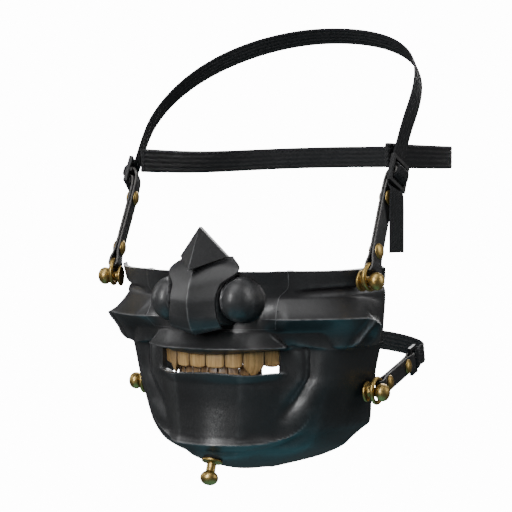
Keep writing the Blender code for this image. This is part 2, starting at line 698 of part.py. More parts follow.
def tab_path(length, end_radius, end_rise):
    """Trace a folded tab seen edge on: round the ring and the bar, its plies close between.

    The points are lengths along the tab from the ring's centre, and away from its plane.
    """
    half = (PLY_GAP + LEATHER_WALL) / 2
    radius = RING_WIRE + GAP + LEATHER_WALL / 2
    low = ring_seat(LEATHER_WIDTH)
    far = RING_RADIUS + length
    near_neck, far_neck = RING_RADIUS + 2 * radius, far - neck_length(end_radius, end_rise)
    bar = (far, end_rise)
    wire_end = RING_RADIUS + 0.3 * radius
    path = [(wire_end, radius)] + loop_points((low, 0), radius, 90, 270) + [(wire_end, -radius)]
    path += [(along, -half) for along in np.linspace(near_neck, far_neck, 3)]
    path += loop_points(bar, end_radius, touch_angle((far_neck, -half), bar, end_radius, -1),
                        touch_angle((far_neck, half), bar, end_radius, 1), 8)
    return path + [(along, half) for along in np.linspace(far_neck, near_neck, 3)]


def drop_cutter(item, centre, axis, radius, length, cutters):
    """Cut a round hole through a piece along an axis."""
    work = bmesh.new()
    bmesh.ops.create_cone(work, cap_ends=True, segments=8, radius1=radius, radius2=radius,
                          depth=length)
    mesh = bpy.data.meshes.new("hole")
    work.to_mesh(mesh)
    work.free()
    cutter = bpy.data.objects.new("hole", mesh)
    cutter.rotation_mode = "QUATERNION"
    cutter.rotation_quaternion = Vector(axis).to_track_quat("Z", "Y")
    cutter.location = centre
    cutter.hide_render = True
    cutter.display_type = "WIRE"
    cutters.objects.link(cutter)
    cut = item.modifiers.new("hole", "BOOLEAN")
    cut.object = cutter
    cut.operation = "DIFFERENCE"


def rivet_profile(span):
    """Give a rivet's outline: two domed heads on a shank that spans the plies."""
    half = span / 2
    angles = np.linspace(math.pi / 2, 0, 3)
    head = [(RIVET_RADIUS * math.cos(angle), half + RIVET_RISE * math.sin(angle))
            for angle in angles]
    head[0] = (0.0, half + RIVET_RISE)
    top = head + [(SHANK_RADIUS, half)]
    return top + [(radius, -level) for radius, level in reversed(top)]


def make_tab(name, line, side, length, inward, end_radius, end_rise, last_rivet, group, cutters):
    """Make a folded leather tab from its ring to the bar at its other end, and two rivets.

    Gives the bar's centre, the direction along the tab and its outward face.
    """
    centre, direction, face = (mirrored(item, side) for item in line)
    width = np.cross(direction, face)
    wire = centre + direction * ring_seat(LEATHER_WIDTH)
    direction, face = (direction * math.cos(inward) - face * math.sin(inward),
                       face * math.cos(inward) + direction * math.sin(inward))
    centre = wire - direction * ring_seat(LEATHER_WIDTH)
    path = [centre + direction * along + face * away
            for along, away in tab_path(length, end_radius, end_rise)]
    item = ribbon(name, path, width, LEATHER_WIDTH, LEATHER_WALL, group, "leather", closed=True)
    span = 2 * LEATHER_WALL + PLY_GAP + 2 * GAP
    far = RING_RADIUS + length
    first = RING_RADIUS + 2 * (RING_WIRE + GAP + LEATHER_WALL / 2) + RIVET_RADIUS
    second = far - last_rivet
    for number, along in ((1, first), (2, second)):
        middle = centre + direction * along
        drop_cutter(item, middle, face, SHANK_RADIUS + GAP, span * 3, cutters)
        turned(f"rivet_{name.removeprefix('tab_')}_{number}", rivet_profile(span), middle, face,
               group, "brass", steps=8)
    return centre + direction * far + face * end_rise, direction, face


def box_object(name, middle, size, turn, centre, group, finish):
    """Make a box in a piece's own directions, set at its centre."""
    work = bmesh.new()
    bmesh.ops.create_cube(work, size=1)
    for vert in work.verts:
        local = np.array([middle[k] + vert.co[k] * size[k] for k in range(3)])
        vert.co = Vector(turn @ local + centre)
    mesh = bpy.data.meshes.new(name)
    if np.linalg.det(turn) < 0:
        bmesh.ops.reverse_faces(work, faces=work.faces)
    work.to_mesh(mesh)
    work.free()
    return place_object(name, mesh, group, finish)


def make_frame(name, centre, direction, face, half_width, bar, bars, group, cutters):
    """Make a frame of square bars joined into one piece: two sides and the cross bars.

    Each cross bar is given as its place along the frame and how far it lies behind.
    """
    turn = np.array([np.cross(direction, face), direction, face]).T
    levels = [level for level, _ in bars]
    middle, tall = (max(levels) + min(levels)) / 2, max(levels) - min(levels) + bar
    side_at = half_width + bar / 2
    item = box_object(name, (-side_at, middle, 0), (bar, tall, bar), turn, centre, group, "buckle")
    others = [((side_at, middle, 0), (bar, tall, bar))]
    thin = bar * 0.96
    others += [((0, level * 0.998, -behind), (2 * side_at, thin, thin)) for level, behind in bars]
    for place, size in others:
        bar_item = box_object("frame_bar", place, size, turn, centre, cutters, "buckle")
        bar_item.hide_render = True
        bar_item.display_type = "WIRE"
        join = item.modifiers.new("bar", "BOOLEAN")
        join.operation = "UNION"
        join.object = bar_item


def web_through_buckle():
    """Trace the webbing through a slide buckle seen edge on, from above it to below it.

    It goes behind the top bar, in front of the middle bar with the tab's loop, and behind the
    bottom bar. The points are lengths along the buckle from its middle, and before its face.
    """
    step = BUCKLE_SLOT + BUCKLE_BAR
    behind = -(BUCKLE_BAR / 2 + GAP + WEB_WALL / 2)
    radius = bar_loop_radius(BUCKLE_BAR, LEATHER_WALL)
    front = radius + LEATHER_WALL / 2 + GAP + WEB_WALL / 2 - BUCKLE_CAMBER
    turn = step - BUCKLE_BAR / 2 - GAP - WEB_WALL * 0.3
    return ((step + BUCKLE_BAR, behind), (step, behind), (turn, behind), (radius * 1.2, front),
            (0.0, front + GAP / 2), (-radius * 1.2, front), (-turn, behind), (-step, behind))


def upper_side(side, word, group, cutters):
    """Make a top ring, its tab and its slide buckle, and trace the webbing through it."""
    line = ring_line(TOP_STUD_AT, (0.0, math.sin(STRAP_LEAN), math.cos(STRAP_LEAN)))
    make_ring(f"ring_top_{word}", mirrored(line[0], side), mirrored(line[2], side), group)
    radius = bar_loop_radius(BUCKLE_BAR, LEATHER_WALL)
    behind = BUCKLE_BAR / 2 + 2 * GAP + WEB_WALL
    rise = behind + PLY_GAP / 2 + LEATHER_WALL + GAP / 2
    last = BUCKLE_SLOT + 1.5 * BUCKLE_BAR + RIVET_RADIUS + 2 * WEB_WALL
    bar, direction, face = make_tab(f"tab_top_{word}", line, side, TAB_LENGTH, TAB_INWARD,
                                    radius, rise - BUCKLE_CAMBER, last, group, cutters)
    centre = bar + face * BUCKLE_CAMBER
    step = BUCKLE_SLOT + BUCKLE_BAR
    half = max(WEB_WIDTH, LEATHER_WIDTH) / 2 + BUCKLE_SIDE_CLEARANCE
    make_frame(f"buckle_{word}", centre, direction, face, half, BUCKLE_BAR,
               ((step, 0), (0, BUCKLE_CAMBER), (-step, 0)), group, cutters)
    path = [centre + direction * along + face * away for along, away in web_through_buckle()]
    return path, direction, face


def hanging_tail(start, direction, face):
    """Trace the free end: out past the bottom bar and over the tab's rivet, then straight down."""
    out = RIVET_RISE + WEB_WALL
    first = start - direction * (BUCKLE_BAR + WEB_WALL) / 2
    second = first - direction * out * 0.6 + face * out
    falls = [second - np.array((0.0, 0.0, TAIL_LENGTH * share)) for share in (0.25, 0.5, 0.75, 1.0)]
    return [first, second] + falls


def crown_curve(start):
    """Trace the crown strap from above a buckle to the top of the head."""
    points = []
    bulge = CROWN_RIGHT_BULGE if start[0] > 0 else 0.0
    for angle in np.radians(np.linspace(6, 90, 15)):
        rise = math.sin(angle)
        points.append((start[0] * math.cos(angle) + bulge * math.sin(2 * angle),
                       start[1] + (CROWN_BACK - start[1]) * rise ** 0.95,
                       start[2] + (CROWN_HEIGHT - start[2]) * rise ** 0.67))
    return points


def make_crown_strap(right, left, group):
    """Make the strap over the crown, through both buckles, with its tail at the right one."""
    paths, widths = [], []
    for (path, direction, face), tail in ((right, True), (left, False)):
        across = np.cross(direction, face) * math.copysign(1, face[0])
        level = np.array((math.copysign(TAIL_TURN, face[0]), 1.0, 0.0))
        if tail:
            lower = hanging_tail(path[-1], direction, face)
        else:
            lower = [path[-1] - direction * BUCKLE_BAR * 0.55]
        upper = crown_curve(path[0] + direction * BUCKLE_BAR)
        points = lower[::-1] + path[::-1] + upper
        over = unit((0.0, CROWN_HEIGHT - path[0][2], -(CROWN_BACK - path[0][1])))
        turned_sides = [unit(level)] * (len(lower) - 2) + [unit(unit(level) + across), across]
        sides = turned_sides[-len(lower):] + [across] * len(path)
        sides += [unit(across * (1 - share) + over * share)
                  for share in smooth(np.linspace(0.1, 1.5, len(upper)))]
        paths.append(points)
        widths.append(sides)
    points = paths[0] + paths[1][-2::-1]
    sides = widths[0] + widths[1][-2::-1]
    ribbon("crown_strap", points, sides, WEB_WIDTH, WEB_WALL, group, "webbing")


def round_back(start, back, level, count, squareness, bulge=0.0):
    """Trace half a loop round the back, from beside the head or neck to its middle."""
    points = []
    for angle in np.radians(np.linspace(0, 90, count)):
        points.append((start[0] * math.cos(angle) ** squareness + bulge * math.sin(2 * angle),
                       start[1] + (back - start[1]) * math.sin(angle) ** squareness,
                       start[2] + (level - start[2]) * math.sin(angle) ** 2))
    return np.array(points)


def back_strap_half(side_path, above):
    """Trace half the back strap on the right side: its doubled end, the fold and the way back."""
    path, direction, face = side_path
    apart = WEB_WALL + PLY_GAP
    start = path[0] + direction * above - face * (WEB_WALL + apart + BACK_STRAP_CLEAR)
    start = start - (0, WEB_WIDTH * 0.45, 0)
    inner = round_back(start, HEAD_BACK, BACK_STRAP_LEVEL, 22, 0.66, HEAD_BULGE)
    along = np.gradient(inner, axis=0)
    out = np.cross(along, (0, 0, 1))
    out = out / np.linalg.norm(out, axis=1, keepdims=True)
    reach = np.append(0, np.cumsum(np.linalg.norm(np.diff(inner, axis=0), axis=1)))
    levels = np.linspace(BACK_STRAP_FOLD, 0.001, 6)
    outer = np.stack([np.interp(levels, reach, (inner + out * apart)[:, axis])
                      for axis in range(3)], -1)
    fold = [start + out[0] * apart * (0.5 + 0.5 * math.cos(angle))
            - unit(along[1]) * apart * 0.5 * math.sin(angle)
            for angle in np.radians((0, 45, 90, 135))]
    return list(outer) + fold + list(inner)


def make_back_strap(right, group):
    """Make the strap round the back of the head, its doubled ends behind the crown strap."""
    half = back_strap_half(right, BACK_STRAP_ABOVE)
    twin = back_strap_half(right, BACK_STRAP_LEFT_ABOVE)
    twin = [mirrored(point, -1) for point in twin[-2::-1]]
    ribbon("back_strap", half + twin, (0, 0, 1), BACK_STRAP_WIDTH, WEB_WALL, group, "webbing")


def lower_side(side, word, group, cutters):
    """Make a lower ring, its tab and its frame, and trace the webbing's loop on the frame."""
    line = ring_line(LOW_STUD_AT, (0.0, math.cos(NECK_TAB_RISE), math.sin(NECK_TAB_RISE)))
    make_ring(f"ring_low_{word}", mirrored(line[0], side), mirrored(line[2], side), group)
    radius = bar_loop_radius(FRAME_BAR, LEATHER_WALL)
    last = neck_length(radius, 0.0) + RIVET_RADIUS + 2 * GAP
    bar, direction, face = make_tab(f"tab_low_{word}", line, side, LOW_TAB_LENGTH, LOW_TAB_INWARD, radius,
                                    0.0, last, group, cutters)
    step = FRAME_SLOT + FRAME_BAR
    half = max(WEB_WIDTH, LEATHER_WIDTH) / 2 + BUCKLE_SIDE_CLEARANCE
    make_frame(f"neck_frame_{word}", bar, direction, face, half, FRAME_BAR, ((0, 0), (step, 0)),
               group, cutters)
    far = bar + direction * step
    web_radius = bar_loop_radius(FRAME_BAR, WEB_WALL)
    apart = (PLY_GAP + WEB_WALL) / 2
    flat = [(reach, -apart) for reach in np.linspace(NECK_STRAP_FOLD, 2.2 * web_radius, 4)]
    flat += loop_points((0, 0), web_radius, 285, 75)
    flat += [(2.2 * web_radius, apart), (NECK_STRAP_FOLD, apart)]
    path = [far + direction * along + face * away for along, away in flat]
    return path, np.cross(direction, face) * side


def make_neck_strap(right, group):
    """Make the strap round the back of the neck, looped on both neck frames."""
    path, across = right
    ahead = unit(path[-1] - path[-2])
    start = path[-1] + ahead * 0.004
    curve = round_back(start, NECK_BACK, start[2] + NECK_STRAP_RISE, 13, 0.8)
    half = path + list(curve[1:])
    level = np.array((0.0, 0.0, across[2] / abs(across[2])))
    sides = [across] * len(path)
    sides += [unit(across * (1 - share) + level * share)
              for share in smooth(np.linspace(0.1, 1.2, len(curve) - 1))]
    points = half + [mirrored(point, -1) for point in half[-2::-1]]
    ribbon("neck_strap", points, sides + sides[-2::-1], WEB_WIDTH, WEB_WALL, group, "webbing")


def main():
    """Build every piece."""
    clear_scene()
    group = new_collection("samurai_face_guard")
    cutters = new_collection("cutters")
    make_shell(group)
    make_nose(group)
    make_band(group)
    make_crest(group)
    make_teeth(group)
    make_studs(group)
    right = upper_side(1, "right", group, cutters)
    left = upper_side(-1, "left", group, cutters)
    make_crown_strap(right, left, group)
    make_back_strap(right, group)
    make_neck_strap(lower_side(1, "right", group, cutters), group)
    lower_side(-1, "left", group, cutters)


main()
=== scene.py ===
"""Looks of the samurai face guard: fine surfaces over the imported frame, finishes, light, camera.

The mask faces -Y, its right side as seen from the front is +X, and +Z is up. All sizes are in
metres. The named sizes and tables are those of the part's own source, apart from the nose band's
half widths and the depth of the nostrils.
"""
import math

import bmesh
import bpy
import numpy as np
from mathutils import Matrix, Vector


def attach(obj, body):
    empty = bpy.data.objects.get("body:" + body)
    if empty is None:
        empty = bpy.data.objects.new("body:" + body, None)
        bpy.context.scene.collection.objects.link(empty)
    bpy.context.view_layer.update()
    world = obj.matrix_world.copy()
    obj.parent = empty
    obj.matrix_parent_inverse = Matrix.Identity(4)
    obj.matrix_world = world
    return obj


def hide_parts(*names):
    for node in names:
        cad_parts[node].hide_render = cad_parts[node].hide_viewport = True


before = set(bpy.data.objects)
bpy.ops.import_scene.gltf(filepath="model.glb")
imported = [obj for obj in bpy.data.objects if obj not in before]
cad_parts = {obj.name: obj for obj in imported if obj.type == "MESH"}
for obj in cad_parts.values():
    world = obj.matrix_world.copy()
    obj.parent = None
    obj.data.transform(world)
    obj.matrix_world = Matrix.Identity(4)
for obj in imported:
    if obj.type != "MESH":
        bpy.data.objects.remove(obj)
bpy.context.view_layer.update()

# Driving sizes of the mask
MASK_HALF_WIDTH = 0.082
MASK_DEPTH = 0.0605
MASK_HEIGHT = 0.1180
WALL = 0.0025
GAP = 0.0003

# Reliefs on the mask
LEDGE_REACH = 0.0115
LEDGE_DROOP = 0.0085
LIP_REACH = 0.0060
LIP_BOW = 0.0023
TOP_DIP = 0.0010
CREASE_DEPTH = 0.0016
FOLD_DEPTH = 0.0022

# Nose
NOSE_REACH = 0.0205
NOSE_HALF_WIDTH = 0.0138
BAND_WALL = 0.0022
UPPER_BAND_CLEAR = 0.0015
NOSTRIL_HALF_WIDTH = 0.0101
NOSTRIL_HALF_HEIGHT = 0.0122
NOSTRIL_SPREAD = 0.0204
NOSTRIL_DROP = 0.0160
NOSTRIL_SEAT = 0.0016
NOSTRIL_SINK, NOSTRIL_SKIRT = 0.0055, 6.0
CREST_RISE = 0.0231
CREST_HALF_WIDTH = 0.0141
CREST_WALL = 0.0020

# Teeth
TOOTH_DEPTH = 0.0035
UPPER_TOOTH_SHOWN = 0.0078
LOWER_TOOTH_SHOWN = 0.0060
TOOTH_ROOT = 0.0040
FANG_EXTRA = 0.0052
LOWER_TOOTH_CLEAR = 0.0008
ARCH_TURN = math.radians(52)

# Studs, rings and rivets
FLANGE_RADIUS = 0.0058
FLANGE_THICKNESS = 0.0014
STEM_RADIUS = 0.0026
STEM_LENGTH = 0.0053
KNOB_RADIUS = 0.0050
KNOB_HALF_LENGTH = 0.0040
RING_RADIUS = 0.0068
RING_WIRE = 0.00125
RIVET_RADIUS = 0.0043
RIVET_RISE = 0.0018
SHANK_RADIUS = 0.0012

# Leather and webbing
LEATHER_WIDTH = 0.0098
LEATHER_WALL = 0.0013
PLY_GAP = 0.0004
TAB_LENGTH = 0.0570
LOW_TAB_LENGTH = 0.0500
WEB_WIDTH = 0.0118
WEB_WALL = 0.0013
STRAP_LEAN = math.radians(29)
TAB_INWARD = math.radians(6.5)
LOW_TAB_INWARD = math.radians(6)
NECK_TAB_RISE = math.radians(11.5)
TAIL_LENGTH = 0.0345
TAIL_TURN = 0.42
BACK_STRAP_FOLD = 0.0240
BACK_STRAP_WIDTH = 0.0138
BACK_STRAP_ABOVE = 0.0032
BACK_STRAP_LEFT_ABOVE = 0.0012
BACK_STRAP_LEVEL = 0.0650
BACK_STRAP_CLEAR = 0.0032

# Slide buckles and neck frames
BUCKLE_BAR = 0.0022
BUCKLE_SLOT = 0.0050
BUCKLE_CAMBER = 0.0010
FRAME_BAR = 0.0018
FRAME_SLOT = 0.0058

# The head and neck that the straps go round
HEAD_BACK = 0.1780
HEAD_BULGE = 0.0110
CROWN_HEIGHT = 0.1390
CROWN_RIGHT_BULGE = 0.0065
CROWN_BACK = 0.1130
NECK_BACK = 0.1110
NECK_STRAP_RISE = 0.0065
NECK_STRAP_FOLD = 0.0062

# Sections of the mask from its top edge to its lower back rim. The drop is a share of
# MASK_HEIGHT, the half widths of MASK_HALF_WIDTH and the places forward of MASK_DEPTH.
SECTION_COLUMNS = ("drop", "rim_half", "rim_fore", "cheek_half", "cheek_fore",
                   "corner_half", "corner_fore", "front_fore")
SECTIONS = (
    (0.00, 1.00, 0.00, 0.84, 0.36, 0.52, 0.73, 0.99),
    (0.075, 0.98, -0.07, 0.82, 0.36, 0.51, 0.72, 0.94),
    (0.13, 0.97, -0.11, 0.81, 0.35, 0.50, 0.71, 0.93),
    (0.225, 0.945, -0.15, 0.79, 0.36, 0.49, 0.71, 0.93),
    (0.29, 0.93, -0.18, 0.775, 0.37, 0.475, 0.70, 0.94),
    (0.36, 0.915, -0.20, 0.755, 0.40, 0.45, 0.67, 0.98),
    (0.375, 0.91, -0.21, 0.745, 0.41, 0.435, 0.64, 1.00),
    (0.49, 0.865, -0.25, 0.715, 0.40, 0.435, 0.64, 1.00),
    (0.535, 0.85, -0.28, 0.70, 0.40, 0.435, 0.64, 0.98),
    (0.635, 0.815, -0.32, 0.655, 0.40, 0.415, 0.63, 0.96),
    (0.745, 0.79, -0.36, 0.615, 0.37, 0.39, 0.61, 0.97),
    (0.78, 0.735, -0.36, 0.59, 0.36, 0.38, 0.58, 0.95),
    (0.825, 0.66, -0.36, 0.545, 0.34, 0.35, 0.57, 0.92),
    (0.865, 0.60, -0.36, 0.475, 0.29, 0.29, 0.52, 0.87),
    (0.92, 0.44, -0.36, 0.31, 0.18, 0.17, 0.37, 0.60),
    (0.965, 0.235, -0.36, 0.165, -0.04, 0.09, 0.10, 0.23),
    (1.00, 0.05, -0.36, 0.033, -0.36, 0.017, -0.35, -0.35),
)
LEDGE_BACK_ROW, LEDGE_EDGE_ROW, LEDGE_FOOT_ROW = 2, 3, 4
LIP_ROW, MOUTH_TOP_ROW, MOUTH_BOTTOM_ROW = 5, 6, 7
LEDGE_FOOT_FALL = 2.2
NOSE_END_ROW = 3.75
LAST_ROW = len(SECTIONS) - 1
CORNER_PLACE, CHEEK_PLACE = 0.36, 0.68
FRONT_PLACE = 0.18
FRONT_HALF_SHARE = 0.52
FRONT_ROUNDNESS = 0.20
PLACES = np.array((-1, -CHEEK_PLACE, -CORNER_PLACE, -FRONT_PLACE, 0, FRONT_PLACE, CORNER_PLACE,
                   CHEEK_PLACE, 1.0))

# Sections of the nose band: drop as a share of MASK_HEIGHT below the origin, reach of the
# ridge and of the edge as shares of NOSE_REACH beyond MASK_DEPTH, half width as a share of
# NOSE_HALF_WIDTH, and how much lower the ridge lies than the edge as a share of MASK_HEIGHT.
BAND_SECTIONS = (
    (-0.060, 0.34, -0.39, 1.02, 0.000),
    (0.000, 0.55, -0.06, 1.52, 0.000),
    (0.070, 0.84, 0.42, 1.02, 0.002),
    (0.136, 0.95, 0.61, 0.97, 0.004),
    (0.200, 0.88, 0.60, 1.02, 0.008),
    (0.248, 0.68, 0.46, 1.08, 0.020),
    (0.262, 0.42, 0.34, 1.08, 0.032),
)

# Edges of the teeth from the midline out, as shares of the mouth's half width
UPPER_TOOTH_EDGES = (0.0, 0.305, 0.58, 0.83, 1.05)
FANG_NUMBER = 2
LOWER_TOOTH_EDGES = (0.0, 0.17, 0.34, 0.53, 0.69, 0.84)

# Where the studs stand: place across the mask and row down it. A side stud turns forwards
# by only a share of the wall's own turn, so that its tab lies along the head.
SIDE_STUD_TURN = 0.42
TOP_STUD_AT = (0.765, 0.72)
LOW_STUD_AT = (0.935, 8.6)
CHIN_STUD_AT = (0.0, 13.35)

# Sizes that only the looks need: the seam round the nose and the finer forms of the mask
SEAM = 0.00010
SEAM_WAVE = ((0.0, 0.004), (1.0, 0.010), (2.0, -0.030), (3.0, -0.048), (3.75, -0.036), (5.0, 0.0))
FLANGE_GAP, FLANGE_WALL, FLANGE_REACH = 0.0003, 0.0015, 0.03
JAW_REACH, JAW_ROW, JAW_CLIMB = 0.0036, 11.35, 3.2
LOWER_LIP_REACH = 0.0018
CORNER_LIFT = 0.0014
HOOK_REACH = 0.0028
DEEPER_CREASE = 0.0022
RIDGE_SOFT = 0.012
SHELL_BEVEL, PLATE_BEVEL, CREST_BEVEL = 0.00045, 0.0004, 0.0002
BUCKLE_BEVEL, FRAME_BEVEL = 0.00055, 0.00045
# How far an edge must stand out to be marked fully: the lacquer turns grey there, partly wear and
# partly a painted highlight.
EDGE_WEAR_AND_HIGHLIGHT_RISE = 0.045

# Teeth, webbing and stitches as the looks have them
TOOTH_PRESS = 0.00004
TOOTH_BELLY = 0.0004
FANG_FORWARD = 0.0006
TOOTH_LOOK_STEP = 7.3
RIB_COUNT = 5
RIB_RISE = 0.00011
THREAD_PITCH, THREAD_SLANT = 0.00088, 0.00028
STITCH_PITCH = 0.0024
STITCH_LENGTH = 0.0017
STITCH_RADIUS = 0.00026
STITCH_INSET = 0.0015
STITCH_ROWS = (-0.28, 0.28)

# How finely the surfaces are divided. A row of the shell starts at a row of the table of
# sections and has its count of steps down to the next.
SHELL_ROWS = (
    (0, 8), (1, 10), (2, 12), (LEDGE_EDGE_ROW, 10), (NOSE_END_ROW, 3), (LEDGE_FOOT_ROW, 12),
    (LIP_ROW, 5), (MOUTH_TOP_ROW, 8), (MOUTH_BOTTOM_ROW, 10), (8, 8), (9, 7), (10, 5), (11, 6),
    (12, 6), (13, 6), (14, 6), (15, 5),
)
CHEEK_STEPS, FRONT_STEPS = 62, 64
NOSE_GRID, BAND_GRID, CREST_GRID = (169, 96), (61, 90), (41, 40)
TOOTH_LEVELS, TOOTH_SIDES = 26, 40
RING_STEPS, WIRE_STEPS = 72, 20
THREAD_RINGS, THREAD_SIDES = 7, 8
FOLD_POINTS = 6
SIDES = ((-1, "left"), (1, "right"))

# The view, the floor and the light
VIEW_TARGET = (0.0007, 0.0069, 0.0051)
VIEW_AZIMUTH, VIEW_ELEVATION, VIEW_DISTANCE, VIEW_LENS = 24.5, 2.0, 1.0, 123
FLOOR_DROP, FLOOR_REACH = 1.2, 30.0
ROOM_LIGHT, ROOM_SEEN = 0.085, 14.0
WHITE = (1.0, 1.0, 1.0)
SOFTBOXES = (
    ("front_box", -4, 22, 1.1, (0.17, 0.80), 12.0, WHITE),
    ("top_box", 20, 72, 1.1, (0.8, 0.8), 5.5, WHITE),
    ("right_box", 112, 22, 1.1, (0.35, 0.9), 4.0, WHITE),
    ("left_box", -84, 22, 1.1, (0.35, 0.9), 3.0, WHITE),
    ("back_box", 195, 28, 1.2, (0.9, 0.7), 14.0, WHITE),
    ("low_box", 40, -80, 0.30, (0.4, 0.4), 0.30, (0.15, 0.68, 0.84)),
)


def smooth(value):
    """Ease from 0 to 1 with level ends."""
    share = np.clip(value, 0, 1)
    return share * share * (3 - 2 * share)


def unit(vector):
    """Scale a vector, or each of an array's vectors, to length 1."""
    vector = np.asarray(vector, float)
    return vector / np.maximum(np.linalg.norm(vector, axis=-1, keepdims=True), 1e-12)


def full_turn(count):
    """Give evenly spaced angles all round, from 0."""
    return np.linspace(0, 2 * math.pi, count, endpoint=False)


def spokes(axis, count):
    """Give unit vectors evenly spaced all round an axis."""
    axis, turn = unit(axis), full_turn(count)[:, None]
    first = unit(np.cross(axis, (0, 0, 1) if abs(axis[2]) < 0.9 else (1, 0, 0)))
    return np.cos(turn) * first + np.sin(turn) * np.cross(axis, first)


def lengths_along(line):
    """Give how far along a line each of its points lies."""
    return np.append(0, np.cumsum(np.linalg.norm(np.diff(line, axis=0), axis=1)))


def points_at(lengths, reach, line):
    """Give the places at some lengths along a line whose points lie at the lengths reach."""
    return np.stack([np.interp(lengths, reach, line[:, axis]) for axis in range(3)], -1)


def through(knots, values, at):
    """Follow a cubic through table values that never swings past them."""
    knots = np.asarray(knots, float)
    at = np.atleast_1d(np.asarray(at, float))
    values = np.broadcast_to(np.asarray(values, float), (len(knots), len(at)))
    step = np.diff(knots)[:, None]
    slope = np.diff(values, axis=0) / step
    before, after = slope[:-1], slope[1:]
    same = before * after > 0
    mean = np.where(same, 2 * before * after / np.where(same, before + after, 1), 0)
    tangent = np.concatenate([slope[:1], mean, slope[-1:]])
    cell = np.clip(np.searchsorted(knots, at, side="right") - 1, 0, len(knots) - 2)
    here = np.arange(len(at))
    width = knots[cell + 1] - knots[cell]
    share = np.clip((at - knots[cell]) / width, 0, 1)
    start, end = values[cell, here], values[cell + 1, here]
    out, into = tangent[cell, here] * width, tangent[cell + 1, here] * width
    square, cube = share**2, share**3
    return ((2 * cube - 3 * square + 1) * start + (cube - 2 * square + share) * out
            + (3 * square - 2 * cube) * end + (cube - square) * into)


def section_values(row):
    """Read the table of sections at a row, between its lines too."""
    table = np.array(SECTIONS)
    scales = (MASK_HEIGHT, MASK_HALF_WIDTH, MASK_DEPTH, MASK_HALF_WIDTH, MASK_DEPTH,
              MASK_HALF_WIDTH, MASK_DEPTH, MASK_DEPTH)
    return {name: through(range(len(table)), table[:, [index]], row) * scales[index]
            for index, name in enumerate(SECTION_COLUMNS)}


def base_point(place, row):
    """Give the mask's plain form: the cheeks, the mouth's arch and the bowl of the chin."""
    place, row = np.broadcast_arrays(np.asarray(place, float), np.asarray(row, float))
    shape = place.shape
    place, row = place.ravel(), row.ravel()
    at = section_values(row)
    none = np.zeros_like(place)
    half = (at["corner_half"] * FRONT_HALF_SHARE, at["corner_half"], at["cheek_half"],
            at["rim_half"])
    near = at["front_fore"] + (at["corner_fore"] - at["front_fore"]) * FRONT_ROUNDNESS
    fore = (near, at["corner_fore"], at["cheek_fore"], at["rim_fore"])
    across = np.stack([-value for value in half[::-1]] + [none] + list(half))
    along = -np.stack(list(fore[::-1]) + [at["front_fore"]] + list(fore))
    inside = 1 - smooth(abs(place) / CORNER_PLACE)
    height = -at["drop"] - TOP_DIP * smooth((1 - abs(place)) / 0.5) * smooth(1 - row)
    height = height + LIP_BOW * inside * smooth(1 - abs(row - MOUTH_BOTTOM_ROW))
    height = height - LIP_BOW * 0.6 * inside * smooth(1 - abs(row - MOUTH_TOP_ROW))
    end = smooth((abs(place) - 0.76) / 0.2)
    height = height - LEDGE_DROOP * end * smooth(1 - abs(row - LEDGE_EDGE_ROW - 0.4) / 2.0)
    points = np.stack([through(PLACES, across, place), through(PLACES, along, place), height], -1)
    return points.reshape(shape + (3,))


def normal_of(surface, place, row):
    """Give a surface's outward direction from two small steps across it."""
    step = 0.004
    across = surface(np.clip(place + step, -1, 1), row) - surface(np.clip(place - step, -1, 1), row)
    down = (surface(place, np.clip(row + step, 0, LAST_ROW))
            - surface(place, np.clip(row - step, 0, LAST_ROW)))
    return unit(np.cross(down, across))


def ledge_share(place, row):
    """Give the cheek ledge: a slope outwards, a sharp edge and a short underside."""
    rise = np.clip((row - LEDGE_BACK_ROW) / (LEDGE_EDGE_ROW - LEDGE_BACK_ROW), 0, 1) ** 1.3
    foot = LEDGE_FOOT_ROW + LEDGE_FOOT_FALL * smooth((abs(place) - 0.55) / 0.25)
    fall = np.clip((foot - row) / (foot - LEDGE_EDGE_ROW), 0, 1) ** 1.3
    along = smooth((abs(place) - 0.24) / 0.12) * (1 - smooth((abs(place) - 0.86) / 0.14))
    return np.where(row < LEDGE_EDGE_ROW, rise, fall) * along


def lip_share(place, row):
    """Give the upper lip: a slope out to its edge, then the underside over the teeth."""
    rise = np.clip(row - LEDGE_FOOT_ROW + 0.1, 0, 1) ** 1.2
    fall = np.clip((MOUTH_TOP_ROW - row) / (MOUTH_TOP_ROW - LIP_ROW), 0, 1)
    end = 0.30 + 0.075 * smooth(row - LEDGE_FOOT_ROW)
    along = 1 - smooth((abs(place) - end) / 0.022)
    return np.where(row < LIP_ROW, rise, fall) * along


def fold_depth(place, row):
    """Give the folds pressed into the cheeks: under the eye and round the mouth's corner."""
    eye = np.exp(-((row - 1.55 + 0.9 * (abs(place) - 0.5)) / 0.28) ** 2)
    eye = eye * smooth((abs(place) - 0.38) / 0.15)
    around = np.hypot((abs(place) - 0.30) / 0.22, (row - 7.0) / 2.3)
    crease = np.exp(-((around - 1) / 0.16) ** 2) * smooth((abs(place) - 0.34) / 0.1)
    return FOLD_DEPTH * eye + CREASE_DEPTH * crease


def band_values(height):
    """Read the nose band's table at a height, as real lengths."""
    table = np.array(BAND_SECTIONS)
    drop = -np.ravel(height) / MASK_HEIGHT
    ridge, edge, half, sag = (through(table[:, 0], table[:, [index]], drop) for index in (1, 2, 3, 4))
    return (MASK_DEPTH + NOSE_REACH * ridge, MASK_DEPTH + NOSE_REACH * edge,
            NOSE_HALF_WIDTH * half, MASK_HEIGHT * sag)


